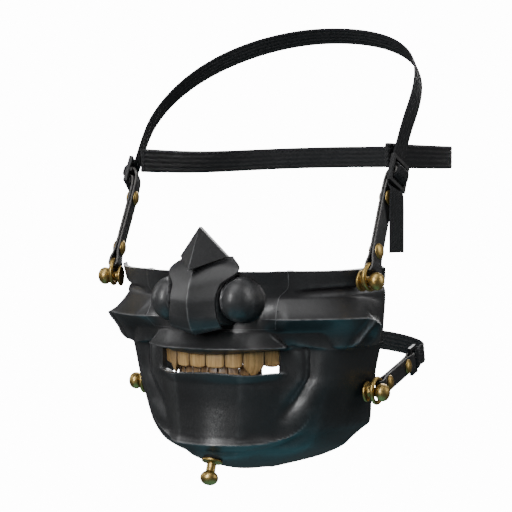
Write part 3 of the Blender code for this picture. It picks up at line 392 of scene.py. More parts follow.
def nose_fore(across, height):
    """Give how far forward the nose stands: a wedge under the band and two round nostrils."""
    ridge, edge, half, _ = band_values(height)
    side = abs(np.ravel(across)) / half
    near_top = smooth((np.ravel(height) + 0.013) / 0.004)
    set_back = BAND_WALL + 3 * GAP + UPPER_BAND_CLEAR * near_top
    wedge = ridge + (edge - ridge) * np.minimum(side, 1) - set_back
    wedge = wedge - smooth((side - 0.92) / 0.5) * 2 * NOSE_REACH
    low = -BAND_SECTIONS[-1][0] * MASK_HEIGHT
    under = smooth((np.ravel(height) - low + 0.004) / 0.007)
    wedge = wedge - (1 - under) * NOSE_REACH * 2
    round_share = (1 - ((abs(np.ravel(across)) - NOSTRIL_SPREAD) / NOSTRIL_HALF_WIDTH) ** 2
                   - ((np.ravel(height) + NOSTRIL_DROP) / NOSTRIL_HALF_HEIGHT) ** 2)
    beyond = np.sqrt(1 - np.minimum(round_share, 0)) - 1
    foot = NOSTRIL_HALF_WIDTH * beyond * NOSTRIL_SKIRT
    bulge = (NOSTRIL_HALF_WIDTH + NOSTRIL_SINK) * np.sqrt(np.maximum(round_share, 0))
    nostril = MASK_DEPTH + NOSTRIL_SEAT - NOSTRIL_SINK + bulge - foot
    below_band = ridge + (edge - ridge) * np.minimum(side, 1.15) - set_back
    below_band = below_band + smooth((side - 1.15) / 0.3) * 3 * NOSE_REACH
    return np.minimum(np.maximum(wedge, nostril), below_band)


def face_point(place, row, relief=1.0):
    """Give the mask's outer surface: its plain form with ledges, lip, folds and nose."""
    place, row = np.broadcast_arrays(np.asarray(place, float), np.asarray(row, float))
    points = base_point(place, row)
    out = normal_of(base_point, place, row)
    flat = unit(out * (1, 1, 0))
    reach = LEDGE_REACH * ledge_share(place, row) + LIP_REACH * lip_share(place, row)
    points = points + flat * (reach * relief)[..., None]
    points = points - out * (fold_depth(place, row) * relief)[..., None]
    fore = nose_fore(points[..., 0], points[..., 2]).reshape(place.shape)
    inner = smooth((CORNER_PLACE - 0.01 - abs(place)) / 0.05) * smooth((NOSE_END_ROW - row) / 0.3)
    more = np.maximum(fore + points[..., 1], 0) * inner
    points[..., 1] -= more * relief
    return points


def inner_point(place, row):
    """Give the mask's smooth inside, a wall behind the plain form and part of its reliefs."""
    return face_point(place, row, relief=0.5) - WALL * normal_of(base_point, place, row)


def nose_inner_point(place, row):
    """Give the nose's hollow inside, a wall behind its front."""
    behind = face_point(place, row)
    behind[..., 1] += WALL
    flat = face_point(place, row, relief=0.0) - WALL * normal_of(base_point, place, row)
    deep = smooth((CORNER_PLACE - 0.03 - abs(np.broadcast_to(place, behind.shape[:-1]))) / 0.05)
    deep = deep * smooth((NOSE_END_ROW - np.broadcast_to(row, behind.shape[:-1])) / 0.4)
    return flat + (behind - flat) * deep[..., None]


def spread(stops, counts):
    """Divide each stretch between two stops into its count of equal steps."""
    parts = [np.linspace(stops[i], stops[i + 1], counts[i], endpoint=False)
             for i in range(len(counts))]
    return np.append(np.concatenate(parts), stops[-1])


def mouth_arch(across, back, row):
    """Give a point behind the mouth's edge: place on the arch, set back by a length."""
    place = CORNER_PLACE * across
    edge = base_point(place, row)
    turn = ARCH_TURN * np.asarray(across)
    outward = np.stack([np.sin(turn), -np.cos(turn), 0 * turn], -1)
    return edge - outward * np.asarray(back)[..., None]


def stud_seat(at):
    """Find a stud's axis and the place where its flange just clears the mask."""
    place, row = np.array(at[0]), np.array(at[1])
    centre = face_point(place, row)
    axis = normal_of(base_point, place, row)
    if abs(float(place)) > 0:
        axis = unit(axis * (1, SIDE_STUD_TURN, 0))
    near_place = np.clip(place + np.linspace(-0.2, 0.2, 41), -1, 1)
    near_row = np.clip(row + np.linspace(-1.5, 1.5, 41), 0, LAST_ROW)
    patch = face_point(*np.meshgrid(near_place, near_row)).reshape(-1, 3) - centre
    rise = patch @ axis
    beside = np.linalg.norm(patch - rise[:, None] * axis, axis=1)
    top = rise[(beside < FLANGE_RADIUS) & (abs(rise) < FLANGE_RADIUS)].max()
    return centre + axis * (top + GAP), axis


def mirrored(point, side):
    """Turn a point or direction to the other side of the mask when side is -1."""
    return np.array(point) * (side, 1, 1)



def ring_line(at, pull):
    """Give a ring's centre, the strap's direction and its outward face at a side stud.

    The ring stands round the stem beside the knob, pulled along the strap until it bears
    on the stem's far side.
    """
    place, axis = stud_seat(at)
    direction = unit(np.array(pull) - axis * np.dot(pull, axis))
    middle = place + axis * (FLANGE_THICKNESS + STEM_LENGTH - RING_WIRE - GAP)
    centre = middle + direction * (RING_RADIUS - RING_WIRE - STEM_RADIUS - GAP)
    return centre, direction, axis


def loop_points(centre, radius, start, end, count=6):
    """Trace an arc, in degrees, of a loop that is seen edge on."""
    angles = np.radians(np.linspace(start, end, count))
    return [(centre[0] + radius * math.cos(angle), centre[1] + radius * math.sin(angle))
            for angle in angles]


def bar_loop_radius(bar, wall):
    """Give the middle line's radius where a strap goes round a square bar."""
    return bar * math.sqrt(0.5) + GAP + wall / 2


def ring_seat(width):
    """Give how far from a ring's centre a strap's loop lies, so that the wire clears its ends."""
    return math.sqrt((RING_RADIUS - RING_WIRE) ** 2 - (width / 2) ** 2) + RING_WIRE


def touch_angle(start, centre, radius, side):
    """Give the angle at which a line from a point touches a circle, above (1) or below (-1)."""
    run, rise = centre[0] - start[0], centre[1] - start[1]
    turn = 90 + math.degrees(math.asin(radius / math.hypot(run, rise)))
    return math.degrees(math.atan2(rise, run)) + side * turn


def neck_length(end_radius, end_rise):
    """Give the stretch of a tab over which its plies part to go round a bar."""
    return end_radius * (1.4 if end_rise > 0 else 2.2)


def tab_path(length, end_radius, end_rise):
    """Trace a folded tab seen edge on: round the ring and the bar, its plies close between.

    The points are lengths along the tab from the ring's centre, and away from its plane.
    """
    half = (PLY_GAP + LEATHER_WALL) / 2
    radius = RING_WIRE + GAP + LEATHER_WALL / 2
    low = ring_seat(LEATHER_WIDTH)
    far = RING_RADIUS + length
    near_neck, far_neck = RING_RADIUS + 2 * radius, far - neck_length(end_radius, end_rise)
    bar = (far, end_rise)
    wire_end = RING_RADIUS + 0.3 * radius
    path = [(wire_end, radius)] + loop_points((low, 0), radius, 90, 270) + [(wire_end, -radius)]
    path += [(along, -half) for along in np.linspace(near_neck, far_neck, 3)]
    path += loop_points(bar, end_radius, touch_angle((far_neck, -half), bar, end_radius, -1),
                        touch_angle((far_neck, half), bar, end_radius, 1), 8)
    return path + [(along, half) for along in np.linspace(far_neck, near_neck, 3)]


def web_through_buckle():
    """Trace the webbing through a slide buckle seen edge on, from above it to below it.

    It goes behind the top bar, in front of the middle bar with the tab's loop, and behind the
    bottom bar. The points are lengths along the buckle from its middle, and before its face.
    """
    step = BUCKLE_SLOT + BUCKLE_BAR
    behind = -(BUCKLE_BAR / 2 + GAP + WEB_WALL / 2)
    radius = bar_loop_radius(BUCKLE_BAR, LEATHER_WALL)
    front = radius + LEATHER_WALL / 2 + GAP + WEB_WALL / 2 - BUCKLE_CAMBER
    turn = step - BUCKLE_BAR / 2 - GAP - WEB_WALL * 0.3
    return ((step + BUCKLE_BAR, behind), (step, behind), (turn, behind), (radius * 1.2, front),
            (0.0, front + GAP / 2), (-radius * 1.2, front), (-turn, behind), (-step, behind))


def hanging_tail(start, direction, face):
    """Trace the free end: out past the bottom bar and over the tab's rivet, then straight down."""
    out = RIVET_RISE + WEB_WALL
    first = start - direction * (BUCKLE_BAR + WEB_WALL) / 2
    second = first - direction * out * 0.6 + face * out
    falls = [second - np.array((0.0, 0.0, TAIL_LENGTH * share)) for share in (0.25, 0.5, 0.75, 1.0)]
    return [first, second] + falls


def crown_curve(start):
    """Trace the crown strap from above a buckle to the top of the head."""
    points = []
    bulge = CROWN_RIGHT_BULGE if start[0] > 0 else 0.0
    for angle in np.radians(np.linspace(6, 90, 15)):
        rise = math.sin(angle)
        points.append((start[0] * math.cos(angle) + bulge * math.sin(2 * angle),
                       start[1] + (CROWN_BACK - start[1]) * rise ** 0.95,
                       start[2] + (CROWN_HEIGHT - start[2]) * rise ** 0.67))
    return points


def round_back(start, back, level, count, squareness, bulge=0.0):
    """Trace half a loop round the back, from beside the head or neck to its middle."""
    points = []
    for angle in np.radians(np.linspace(0, 90, count)):
        points.append((start[0] * math.cos(angle) ** squareness + bulge * math.sin(2 * angle),
                       start[1] + (back - start[1]) * math.sin(angle) ** squareness,
                       start[2] + (level - start[2]) * math.sin(angle) ** 2))
    return np.array(points)


def back_strap_half(side_path, above):
    """Trace half the back strap on the right side: its doubled end, the fold and the way back."""
    path, direction, face = side_path
    apart = WEB_WALL + PLY_GAP
    start = path[0] + direction * above - face * (WEB_WALL + apart + BACK_STRAP_CLEAR)
    start = start - (0, WEB_WIDTH * 0.45, 0)
    inner = round_back(start, HEAD_BACK, BACK_STRAP_LEVEL, 22, 0.66, HEAD_BULGE)
    along = np.gradient(inner, axis=0)
    out = unit(np.cross(along, (0, 0, 1)))
    levels = np.linspace(BACK_STRAP_FOLD, 0.001, FOLD_POINTS)
    outer = points_at(levels, lengths_along(inner), inner + out * apart)
    fold = [start + out[0] * apart * (0.5 + 0.5 * math.cos(angle))
            - unit(along[1]) * apart * 0.5 * math.sin(angle)
            for angle in np.radians((0, 45, 90, 135))]
    return list(outer) + fold + list(inner)


def quads_of(high, wide, wrap_high=False, wrap_wide=False):
    """Number the four-sided faces of a grid: row i and i + 1, column j and j + 1."""
    i, j = np.meshgrid(np.arange(high if wrap_high else high - 1),
                       np.arange(wide if wrap_wide else wide - 1), indexing="ij")
    below, beside = (i + 1) % high, (j + 1) % wide
    return np.stack([i * wide + j, i * wide + beside, below * wide + beside, below * wide + j],
                    -1).reshape(-1, 4)


def clean(mesh, distance, flat_angle=0.0):
    """Merge a mesh's doubled points, dissolve edges flatter than an angle, turn its faces out."""
    work = bmesh.new()
    work.from_mesh(mesh)
    bmesh.ops.remove_doubles(work, verts=work.verts, dist=distance)
    if flat_angle:
        bmesh.ops.dissolve_limit(work, angle_limit=flat_angle, verts=work.verts, edges=work.edges)
    bmesh.ops.recalc_face_normals(work, faces=work.faces)
    work.to_mesh(mesh)
    work.free()


def hang_piece(name, mesh, finish, node, bevel, segments=2, limit=60, harden=False):
    """Put a mesh in the scene in its finish, with bevelled edges, in the place of its node."""
    mesh.materials.clear()
    mesh.materials.append(finish)
    piece = bpy.data.objects.new(name, mesh)
    bpy.context.scene.collection.objects.link(piece)
    if bevel:
        edge = piece.modifiers.new("edge", "BEVEL")
        edge.width, edge.segments = bevel, segments
        edge.limit_method, edge.angle_limit = "ANGLE", math.radians(limit)
        edge.harden_normals = harden
    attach(piece, "root")
    if node:
        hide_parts(node)


def add_piece(node, points, faces, finish, facts=None, sharp=38, bevel=0.0, added=""):
    """Make the fine piece of a node, or an added piece by its own name, with its facts."""
    name = added or f"{node}_fine"
    mesh = bpy.data.meshes.new(name)
    mesh.from_pydata(np.asarray(points, float).reshape(-1, 3).tolist(), [],
                     faces if isinstance(faces, list) else faces.tolist())
    for label, (kind, values) in (facts or {}).items():
        field = mesh.attributes.new(label, kind, "POINT")
        field.data.foreach_set("value" if kind == "FLOAT" else "vector",
                               np.asarray(values, np.float32).ravel())
    clean(mesh, 1e-6)
    mesh.shade_smooth()
    mesh.set_sharp_from_angle(angle=math.radians(sharp))
    hang_piece(name, mesh, finish, node, bevel)


def edge_share(points):
    """Give 0 on flat stretches of a grid of points and 1 on its outward edges.

    It is how far a point stands above the middle of its four neighbours, over their distance.
    """
    wide = np.pad(points, ((1, 1), (1, 1), (0, 0)), mode="edge")
    around = (wide[:-2, 1:-1], wide[2:, 1:-1], wide[1:-1, :-2], wide[1:-1, 2:])
    middle = sum(around) / 4
    down, across = around[1] - around[0], around[3] - around[2]
    normal = unit(np.cross(down, across))
    reach = np.linalg.norm(down, axis=-1) + np.linalg.norm(across, axis=-1)
    rise = ((points - middle) * normal).sum(-1) / np.maximum(reach, 1e-9)
    return np.clip(rise / EDGE_WEAR_AND_HIGHLIGHT_RISE, 0, 1)


def closed_wall(node, across, down, outer, inner, finish, bevel, kept=None):
    """Close the space between an outer and an inner surface over a grid, or its kept cells.

    Each kept cell gives an outer face and an inner one. Where the cell beside it isn't kept, a
    face joins the two surfaces.
    """
    front, back = outer(across, down), inner(across, down)
    high, wide = across.shape
    kept = np.ones((high - 1, wide - 1), bool) if kept is None else kept
    count = high * wide
    faces = [quads_of(high, wide)[kept.ravel()]]
    faces.append(faces[0][:, ::-1] + count)
    framed = np.pad(kept, 1)
    beside = (framed[:-2, 1:-1], framed[1:-1, 2:], framed[2:, 1:-1], framed[1:-1, :-2])
    cells = quads_of(high, wide).reshape(high - 1, wide - 1, 4)
    for side, neighbour in enumerate(beside):
        rim = cells[kept & ~neighbour]
        first, second = rim[:, side], rim[:, (side + 1) % 4]
        faces.append(np.stack([second, first, first + count, second + count], -1))
    faces = np.concatenate(faces)
    used, faces = np.unique(faces, return_inverse=True)
    points = np.concatenate([front.reshape(-1, 3), back.reshape(-1, 3)])[used]
    # The outer surface's edges and ridges are marked for the lacquer's grey: partly wear, partly a
    # painted highlight.
    marks = np.concatenate([edge_share(front).ravel(), np.zeros(count)])[used]
    add_piece(node, points, faces.reshape(-1, 4), finish, {"edge": ("FLOAT", marks)}, bevel=bevel)


def seam_warp(place, row):
    """Shift the grid sideways round the nose's seam, so that the seam runs in a soft wave."""
    rows, shifts = zip(*SEAM_WAVE)
    shift = through(rows, np.array(shifts)[:, None], np.ravel(row)).reshape(np.shape(row))
    near = np.exp(-((abs(place) - CORNER_PLACE) / 0.09) ** 2)
    return place + np.sign(place) * shift * near


def jaw_share(place, row):
    """Give the jaw's edge: a slow rise down to a line that climbs to the rim, then a quick fall."""
    line = JAW_ROW - JAW_CLIMB * smooth((abs(place) - 0.25) / 0.65)
    above = np.clip((row - line + 1.6) / 1.6, 0, 1) ** 2
    below = np.clip(1 - (row - line) / 1.0, 0, 1) ** 1.3
    return np.where(row < line, above, below) * (1 - smooth((abs(place) - 0.36) / 0.3))


def lower_lip_share(place, row):
    """Give the lower lip: furthest out at the mouth's edge and gone two thirds of a row below."""
    fall = np.clip(1 - (row - MOUTH_BOTTOM_ROW) / 0.8, 0, 1) ** 1.6
    return fall * (row >= MOUTH_BOTTOM_ROW - 1e-6) * (1 - smooth((abs(place) - 0.32) / 0.1))


def hook_share(place, row):
    """Give the ledge's outer end: a narrow ridge that curls down and fades out."""
    line = 0.800 - 0.018 * (row - LEDGE_EDGE_ROW)
    narrow = np.exp(-((abs(place) - line) / 0.020) ** 2)
    return narrow * smooth((row - 2.5) / 0.6) * (1 - smooth((row - 4.4) / 1.0))


def mouth_crease(place, row):
    """Give the deep crease that runs round the mouth's corner and down to the chin."""
    around = np.hypot((abs(place) - 0.31) / 0.235, (row - 7.0) / 2.6)
    outside = np.exp(-(np.maximum(around - 1, 0) / 0.26) ** 2)
    inside = np.exp(-(np.minimum(around - 1, 0) / 0.07) ** 2)
    shown = smooth((abs(place) - 0.30) / 0.14) * (1 - smooth((row - 8.6) / 1.1))
    return np.where(around > 1, outside, inside) * shown * smooth((row - 4.6) / 1.0)


def corner_lift(place, row):
    """Give how far the mouth's corners are drawn up: most at the edge of the lower lip."""
    near = smooth((abs(place) - 0.20) / 0.16) * (1 - smooth((abs(place) - 0.37) / 0.12))
    down = np.where(row < MOUTH_BOTTOM_ROW, smooth(row - MOUTH_TOP_ROW),
                    1 - smooth((row - MOUTH_BOTTOM_ROW) / 1.4))
    return CORNER_LIFT * near * down


def fine_face(place, row):
    """Give the outer surface: the plain reliefs, and the finer ones that only the looks need."""
    points = face_point(place, row)
    out = normal_of(base_point, place, row)
    more = (JAW_REACH * jaw_share(place, row) + LOWER_LIP_REACH * lower_lip_share(place, row)
            + HOOK_REACH * hook_share(place, row) - DEEPER_CREASE * mouth_crease(place, row))
    points = points + out * more[..., None]
    points[..., 2] += corner_lift(place, row)
    return points


def fine_inside(place, row):
    """Give the inner surface, which follows the mouth's corners and the deeper crease."""
    points = inner_point(place, row)
    out = normal_of(base_point, place, row)
    points = points - out * (DEEPER_CREASE * 0.6 * mouth_crease(place, row))[..., None]
    points[..., 2] += corner_lift(place, row)
    return points


def make_shell(finish):
    """Make the mask's wall, open at the mouth and behind the nose, on a fine grid."""
    sides = np.linspace(CORNER_PLACE, 1, CHEEK_STEPS + 1)
    middle = np.linspace(-CORNER_PLACE, CORNER_PLACE, FRONT_STEPS + 1)
    places = np.concatenate([-sides[::-1], middle[1:-1], sides])
    starts, counts = zip(*SHELL_ROWS)
    rows = spread(starts + (LAST_ROW,), counts)
    place, row = np.meshgrid(places, rows)
    mid_place = (place[:-1, :-1] + place[1:, 1:]) / 2
    mid_row = (row[:-1, :-1] + row[1:, 1:]) / 2
    mouth = (mid_row > MOUTH_TOP_ROW) & (mid_row < MOUTH_BOTTOM_ROW)
    kept = (abs(mid_place) >= CORNER_PLACE) | ~(mouth | (mid_row < NOSE_END_ROW))
    closed_wall("face_shell", seam_warp(place, row), row, fine_face, fine_inside, finish,
                SHELL_BEVEL, kept)


def make_nose(finish):
    """Make the nose piece with its two round nostrils, and a flange behind the shell's edge."""
    corner_half = SECTIONS[0][SECTION_COLUMNS.index("corner_half")]
    inset = SEAM * CORNER_PLACE / (MASK_HALF_WIDTH * corner_half)
    end, low = CORNER_PLACE - inset, NOSE_END_ROW - 3 * inset
    side = (end + 2 * inset, CORNER_PLACE + FLANGE_REACH)
    places = np.concatenate([(-side[1], -side[0]), np.linspace(-end, end, NOSE_GRID[0]), side])
    rows = np.append(np.linspace(0, low, NOSE_GRID[1]), (low + 6 * inset, low + 3 * FLANGE_REACH))
    place, row = np.meshgrid(places, rows)
    beyond = (abs(places) > end + inset)[None, :] | (rows > low + inset)[:, None]

    def surface(plain, depth):
        """Give a plain surface and, beyond the seam, a depth behind the shell's inside."""
        def either(place, row):
            """Give the points of both on the grid, the flange's where they lie beyond the seam."""
            behind = inner_point(place, row) - depth * normal_of(base_point, place, row)
            return np.where(beyond[..., None], behind, plain(place, row))
        return either

    closed_wall("nose_piece", seam_warp(place, row), row, surface(face_point, FLANGE_GAP),
                surface(nose_inner_point, FLANGE_GAP + FLANGE_WALL), finish, PLATE_BEVEL)


def band_surface(set_back):
    """Give the nose band's surface: two planes that fall from the ridge to the edges."""
    def surface(share, drop):
        """Give the points at shares of the half width and drops of the height."""
        height = -drop * MASK_HEIGHT
        ridge, edge, half, sag = (part.reshape(share.shape) for part in band_values(height))
        side = np.sqrt(share ** 2 + RIDGE_SOFT ** 2) - RIDGE_SOFT
        fore = ridge + (edge - ridge) * side - set_back
        return np.stack([(half - set_back * 0.3) * share, -fore, height - sag * (1 - abs(share))],
                        -1)
    return surface


def make_band(finish):
    """Make the ridged plate down the middle of the nose."""
    share, drop = np.meshgrid(
        np.linspace(-1, 1, BAND_GRID[0]),
        np.linspace(BAND_SECTIONS[0][0], BAND_SECTIONS[-1][0], BAND_GRID[1]))
    closed_wall("nose_band", share, drop, band_surface(0.0), band_surface(BAND_WALL), finish,
                PLATE_BEVEL)


def make_crest(finish):
    """Make the pointed crest: lines from its top to a bent foot, flat on each side of a ridge."""
    band_top = -BAND_SECTIONS[0][0] * MASK_HEIGHT
    ridge, edge, _, _ = band_values((band_top, 0.0))
    clear = BAND_WALL + 1.6 * CREST_WALL
    slope = (ridge[1] - ridge[0]) / band_top
    top = np.array((0, -(ridge[1] + clear - slope * CREST_RISE), CREST_RISE))
    foot = np.array((0, -(ridge[1] + clear), 0.0))
    side = np.array((CREST_HALF_WIDTH, -(edge[0] + clear), band_top))
    normal = unit(np.cross(foot - top, side - top))
    back = CREST_WALL / 2 / abs(normal[1])

    def surface(set_back):
        """Give the crest's plane at a set-back, as a function of two shares."""
        def plate(share, fall):
            """Go from the top towards the foot, which runs out to the side by the share."""
            low = foot + (side - foot) * abs(share)[..., None]
            low = low * np.where(share < 0, -1, 1)[..., None] ** np.array((1, 0, 0))
            return top + (low - top) * fall[..., None] + (0, set_back, 0)
        return plate

    share, fall = np.meshgrid(np.linspace(-1, 1, CREST_GRID[0]), np.linspace(0, 1, CREST_GRID[1]))
    closed_wall("nose_crest", share, fall, surface(-back), surface(back), finish, CREST_BEVEL)


def bevelled_copy(node, width, finish):
    """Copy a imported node, merge its loose faces and round its edges."""
    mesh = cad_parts[node].data.copy()
    clean(mesh, 2e-6, math.radians(1.5))
    mesh.shade_flat()
    hang_piece(f"{node}_fine", mesh, finish, node, width, segments=3, limit=20, harden=True)


def make_tooth(node, near, far, back, top, bottom, tip, finish):
    """Make one tooth: rounded sections stacked from its root to its biting end.

    A section is a rounded rectangle, width to the power 0.22 of the cosine and depth to the
    power 0.4 of the sine. An ordinary tooth narrows a little at its end, a fang to a point.
    """
    level = np.concatenate([[0.0], np.linspace(0, 1, TOOTH_LEVELS), [1.0]])[:, None]
    turn = full_turn(TOOTH_SIDES)[None, :]
    if tip:
        narrow = np.clip(1 - ((level - 0.66) / 0.34).clip(0, 1) ** 1.5, 0, 1)
    else:
        end = np.sqrt(np.clip(1 - ((level - 0.90) / 0.10).clip(0, 1) ** 2.5, 0, 1))
        narrow = (1 - 0.05 * level ** 3) * (0.7 + 0.3 * end)
    size = np.pad(np.ones((TOOTH_LEVELS, 1)), ((1, 1), (0, 0)))
    wide = np.sign(np.cos(turn)) * abs(np.cos(turn)) ** 0.22
    deep = np.sign(np.sin(turn)) * abs(np.sin(turn)) ** 0.4
    half = (far - near) / 2 + TOOTH_PRESS / MASK_HALF_WIDTH
    along = (near + far) / 2 + half * wide * narrow * size
    belly = TOOTH_BELLY * np.sin(math.pi * level) * (deep > 0)
    depth = back + TOOTH_DEPTH / 2 * (1 - deep * np.maximum(narrow, 0.35) * size) - belly
    rounding = abs(wide) ** 3 * (bottom - top) * 0.05 * smooth((level - 0.8) / 0.2)
    points = mouth_arch(along, depth, float(MOUTH_TOP_ROW))
    points[..., 2] = top + (bottom - top) * level - tip * level ** 2 - rounding
    shape = points.shape[:2]
    # Painted shade for the colour: dark at the tooth's sides, where it meets the next, and towards its
    # root.
    shade = np.maximum(abs(wide) ** 6, smooth((0.42 - level) / 0.3) * 0.8)
    add_piece(node, points, quads_of(*shape, wrap_wide=True), finish,
              {"shade": ("FLOAT", np.broadcast_to(shade, shape)),
               "tooth": ("FLOAT", np.full(shape, near * TOOTH_LOOK_STEP))}, sharp=70)


def make_teeth(upper, lower):
    """Make the upper row with its two fangs and the lower row behind it."""
    top = float(base_point(0.0, float(MOUTH_TOP_ROW))[2])
    low = float(base_point(CORNER_PLACE, float(MOUTH_BOTTOM_ROW))[2])
    seat = WALL + 2 * GAP
    jaws = (("upper_tooth", UPPER_TOOTH_EDGES, seat, top + TOOTH_ROOT, top - UPPER_TOOTH_SHOWN,
             upper),
            ("lower_tooth", LOWER_TOOTH_EDGES, seat + TOOTH_DEPTH + LOWER_TOOTH_CLEAR,
             low - TOOTH_ROOT, low + LOWER_TOOTH_SHOWN, lower))
    for side, word in SIDES:
        for kind, edges, back, root, end, finish in jaws:
            for number, pair in enumerate(zip(edges, edges[1:])):
                fang = kind == "upper_tooth" and number == FANG_NUMBER
                near, far = sorted(side * edge for edge in pair)
                make_tooth(f"fang_{word}" if fang else f"{kind}_{word}_{number + 1}", near, far,
                           back - FANG_FORWARD * fang, root, end, FANG_EXTRA * fang, finish)


def corner_cut(points, rounds, closed=False):
    """Round a line: each stretch keeps the points a quarter and three quarters along it."""
    for _ in range(rounds):
        this, following = (points, np.roll(points, -1, 0)) if closed else (points[:-1], points[1:])
        cut = np.stack([0.75 * this + 0.25 * following, 0.25 * this + 0.75 * following], 1)
        cut = cut.reshape(-1, points.shape[1])
        points = cut if closed else np.concatenate([points[:1], cut, points[-1:]])
    return points


def turned(node, profile, place, axis, finish, steps=48):
    """Turn a profile of radius and height about an axis through a place."""
    profile = corner_cut(np.asarray(profile, float), 1)
    points = place + profile[:, None, :1] * spokes(axis, steps) + profile[:, None, 1:] * unit(axis)
    add_piece(node, points, quads_of(len(profile), steps, wrap_wide=True), finish, sharp=55)


def stud_profile():
    """Give a stud's outline from its knob down to its flange, both ends on the axis."""
    stem_top = FLANGE_THICKNESS + STEM_LENGTH
    middle = stem_top + KNOB_HALF_LENGTH * 0.8
    angles = np.linspace(math.pi / 2, -math.pi / 2 + 0.75, 13)
    knob = np.stack([KNOB_RADIUS * np.cos(angles) ** 0.9, middle + KNOB_HALF_LENGTH * np.sin(angles)],
                    1)
    knob[0] = (0.0, middle + KNOB_HALF_LENGTH)
    collar = [(STEM_RADIUS * 1.12, stem_top * 0.99), (STEM_RADIUS, stem_top * 0.93),
              (STEM_RADIUS, FLANGE_THICKNESS * 1.5), (STEM_RADIUS * 1.15, FLANGE_THICKNESS * 1.05)]
    flange = [(FLANGE_RADIUS * 0.86, FLANGE_THICKNESS), (FLANGE_RADIUS * 0.97, FLANGE_THICKNESS * 0.9),
              (FLANGE_RADIUS, FLANGE_THICKNESS * 0.6), (FLANGE_RADIUS, 0.0002),
              (FLANGE_RADIUS * 0.98, 0.0), (0.0, 0.0)]
    return np.concatenate([knob, collar, flange])


def make_studs(finish):
    """Make the four side studs and the one under the chin."""
    for label, at in (("top", TOP_STUD_AT), ("low", LOW_STUD_AT)):
        place, axis = stud_seat(at)
        for side, word in SIDES:
            turned(f"stud_{label}_{word}", stud_profile(), mirrored(place, side),
                   mirrored(axis, side), finish)
    turned("stud_chin", stud_profile(), *stud_seat(CHIN_STUD_AT), finish)


def make_ring(node, centre, axis, finish):
    """Make a ring: a round wire carried round a circle about an axis."""
    turn = full_turn(WIRE_STEPS)[:, None]
    points = (centre + spokes(axis, RING_STEPS)[:, None] * (RING_RADIUS + RING_WIRE * np.cos(turn))
              + axis * (RING_WIRE * np.sin(turn)))
    add_piece(node, points, quads_of(RING_STEPS, WIRE_STEPS, True, True), finish)


def both_faces(top):
    """Close a section or profile: its upper line, then the same line below it and back."""
    return np.concatenate([top, top[::-1] * (1, -1)])


def rivet_profile(span):
    """Give a rivet's outline: two domed heads with thin edges on a shank."""
    half = span / 2
    angles = np.linspace(math.pi / 2, 0, 8)
    head = np.stack([RIVET_RADIUS * np.cos(angles), half + RIVET_RISE * np.sin(angles)], 1)
    head[0] = (0.0, half + RIVET_RISE)
    return both_faces(np.concatenate([head, [(RIVET_RADIUS * 0.97, half), (SHANK_RADIUS, half)]]))


def leather_section(width, wall):
    """Give a leather strip's section: a rectangle with rounded corners."""
    corner = wall * 0.24
    turn = np.radians(np.linspace(0, 90, 5))
    arc = np.stack([width / 2 - corner + corner * np.cos(turn),
                    wall / 2 - corner + corner * np.sin(turn)], 1)
    flat = np.stack([np.linspace(0.7, -0.7, 7) * width / 2, np.full(7, wall / 2)], 1)
    return both_faces(np.concatenate([arc, flat, arc[::-1] * (-1, 1)]))


def web_section(width, wall):
    """Give a woven tape's section: lengthwise ribs on both faces, thinner towards its edges."""
    share = np.linspace(1, -1, 61)
    thick = wall / 2 * (1 - 0.5 * abs(share) ** 14) + RIB_RISE * np.cos(share * RIB_COUNT * math.pi)
    return both_faces(np.stack([share * width / 2, thick - RIB_RISE], 1))


def sweep(node, path, across, section, finish, closed=False):
    """Carry a section along a path, its width across it and its thickness square to both."""
    line = np.concatenate([path, np.broadcast_to(across, np.shape(path))], 1)
    line = corner_cut(np.asarray(line, float), 2, closed)
    path, across = line[:, :3], line[:, 3:]
    if closed:
        along = np.roll(path, -1, 0) - np.roll(path, 1, 0)
        reach = np.cumsum(np.linalg.norm(path - np.roll(path, 1, 0), axis=1))
    else:
        along, reach = np.gradient(path, axis=0), lengths_along(path)
    along = unit(along)
    across = unit(across - along * (across * along).sum(1, keepdims=True))
    points = (path[:, None] + across[:, None] * section[None, :, :1]
              + np.cross(along, across)[:, None] * section[None, :, 1:])
    high, wide = points.shape[:2]
    faces = quads_of(high, wide, closed, True).tolist()
    if not closed:
        faces += [list(range(wide)), list(range((high - 1) * wide, high * wide))]
    run = np.concatenate([np.broadcast_to(reach[:, None, None], (high, wide, 1)),
                          np.broadcast_to(section, (high, wide, 2))], -1)
    add_piece(node, points, faces, finish, {"run": ("FLOAT_VECTOR", run)}, sharp=50)


def ringed_line(node, at, pull, side, finish):
    """Make the ring at a side stud, and give its centre, the strap's direction and its face."""
    line = [mirrored(item, side) for item in ring_line(at, pull)]
    make_ring(node, line[0], line[2], finish)
    return line


def make_tab(name, line, length, inward, end_radius, end_rise, last_rivet, leather, brass):
    """Make a folded leather tab from its ring to the bar at its other end, and two rivets."""
    centre, direction, face = line
    width = np.cross(direction, face)
    wire = centre + direction * ring_seat(LEATHER_WIDTH)
    direction, face = (direction * math.cos(inward) - face * math.sin(inward),
                       face * math.cos(inward) + direction * math.sin(inward))
    centre = wire - direction * ring_seat(LEATHER_WIDTH)
    route = np.array(tab_path(length, end_radius, end_rise))
    path = centre + route[:, :1] * direction + route[:, 1:] * face
    sweep(name, path, width, leather_section(LEATHER_WIDTH, LEATHER_WALL), leather, closed=True)
    far = RING_RADIUS + length
    first = RING_RADIUS + 2 * (RING_WIRE + GAP + LEATHER_WALL / 2) + RIVET_RADIUS
    span = 2 * LEATHER_WALL + PLY_GAP + 2 * GAP
    for number, along in ((1, first), (2, far - last_rivet)):
        turned(f"rivet_{name.removeprefix('tab_')}_{number}", rivet_profile(span),
               centre + direction * along, face, brass, steps=40)
    return centre + direction * far + face * end_rise, direction, face


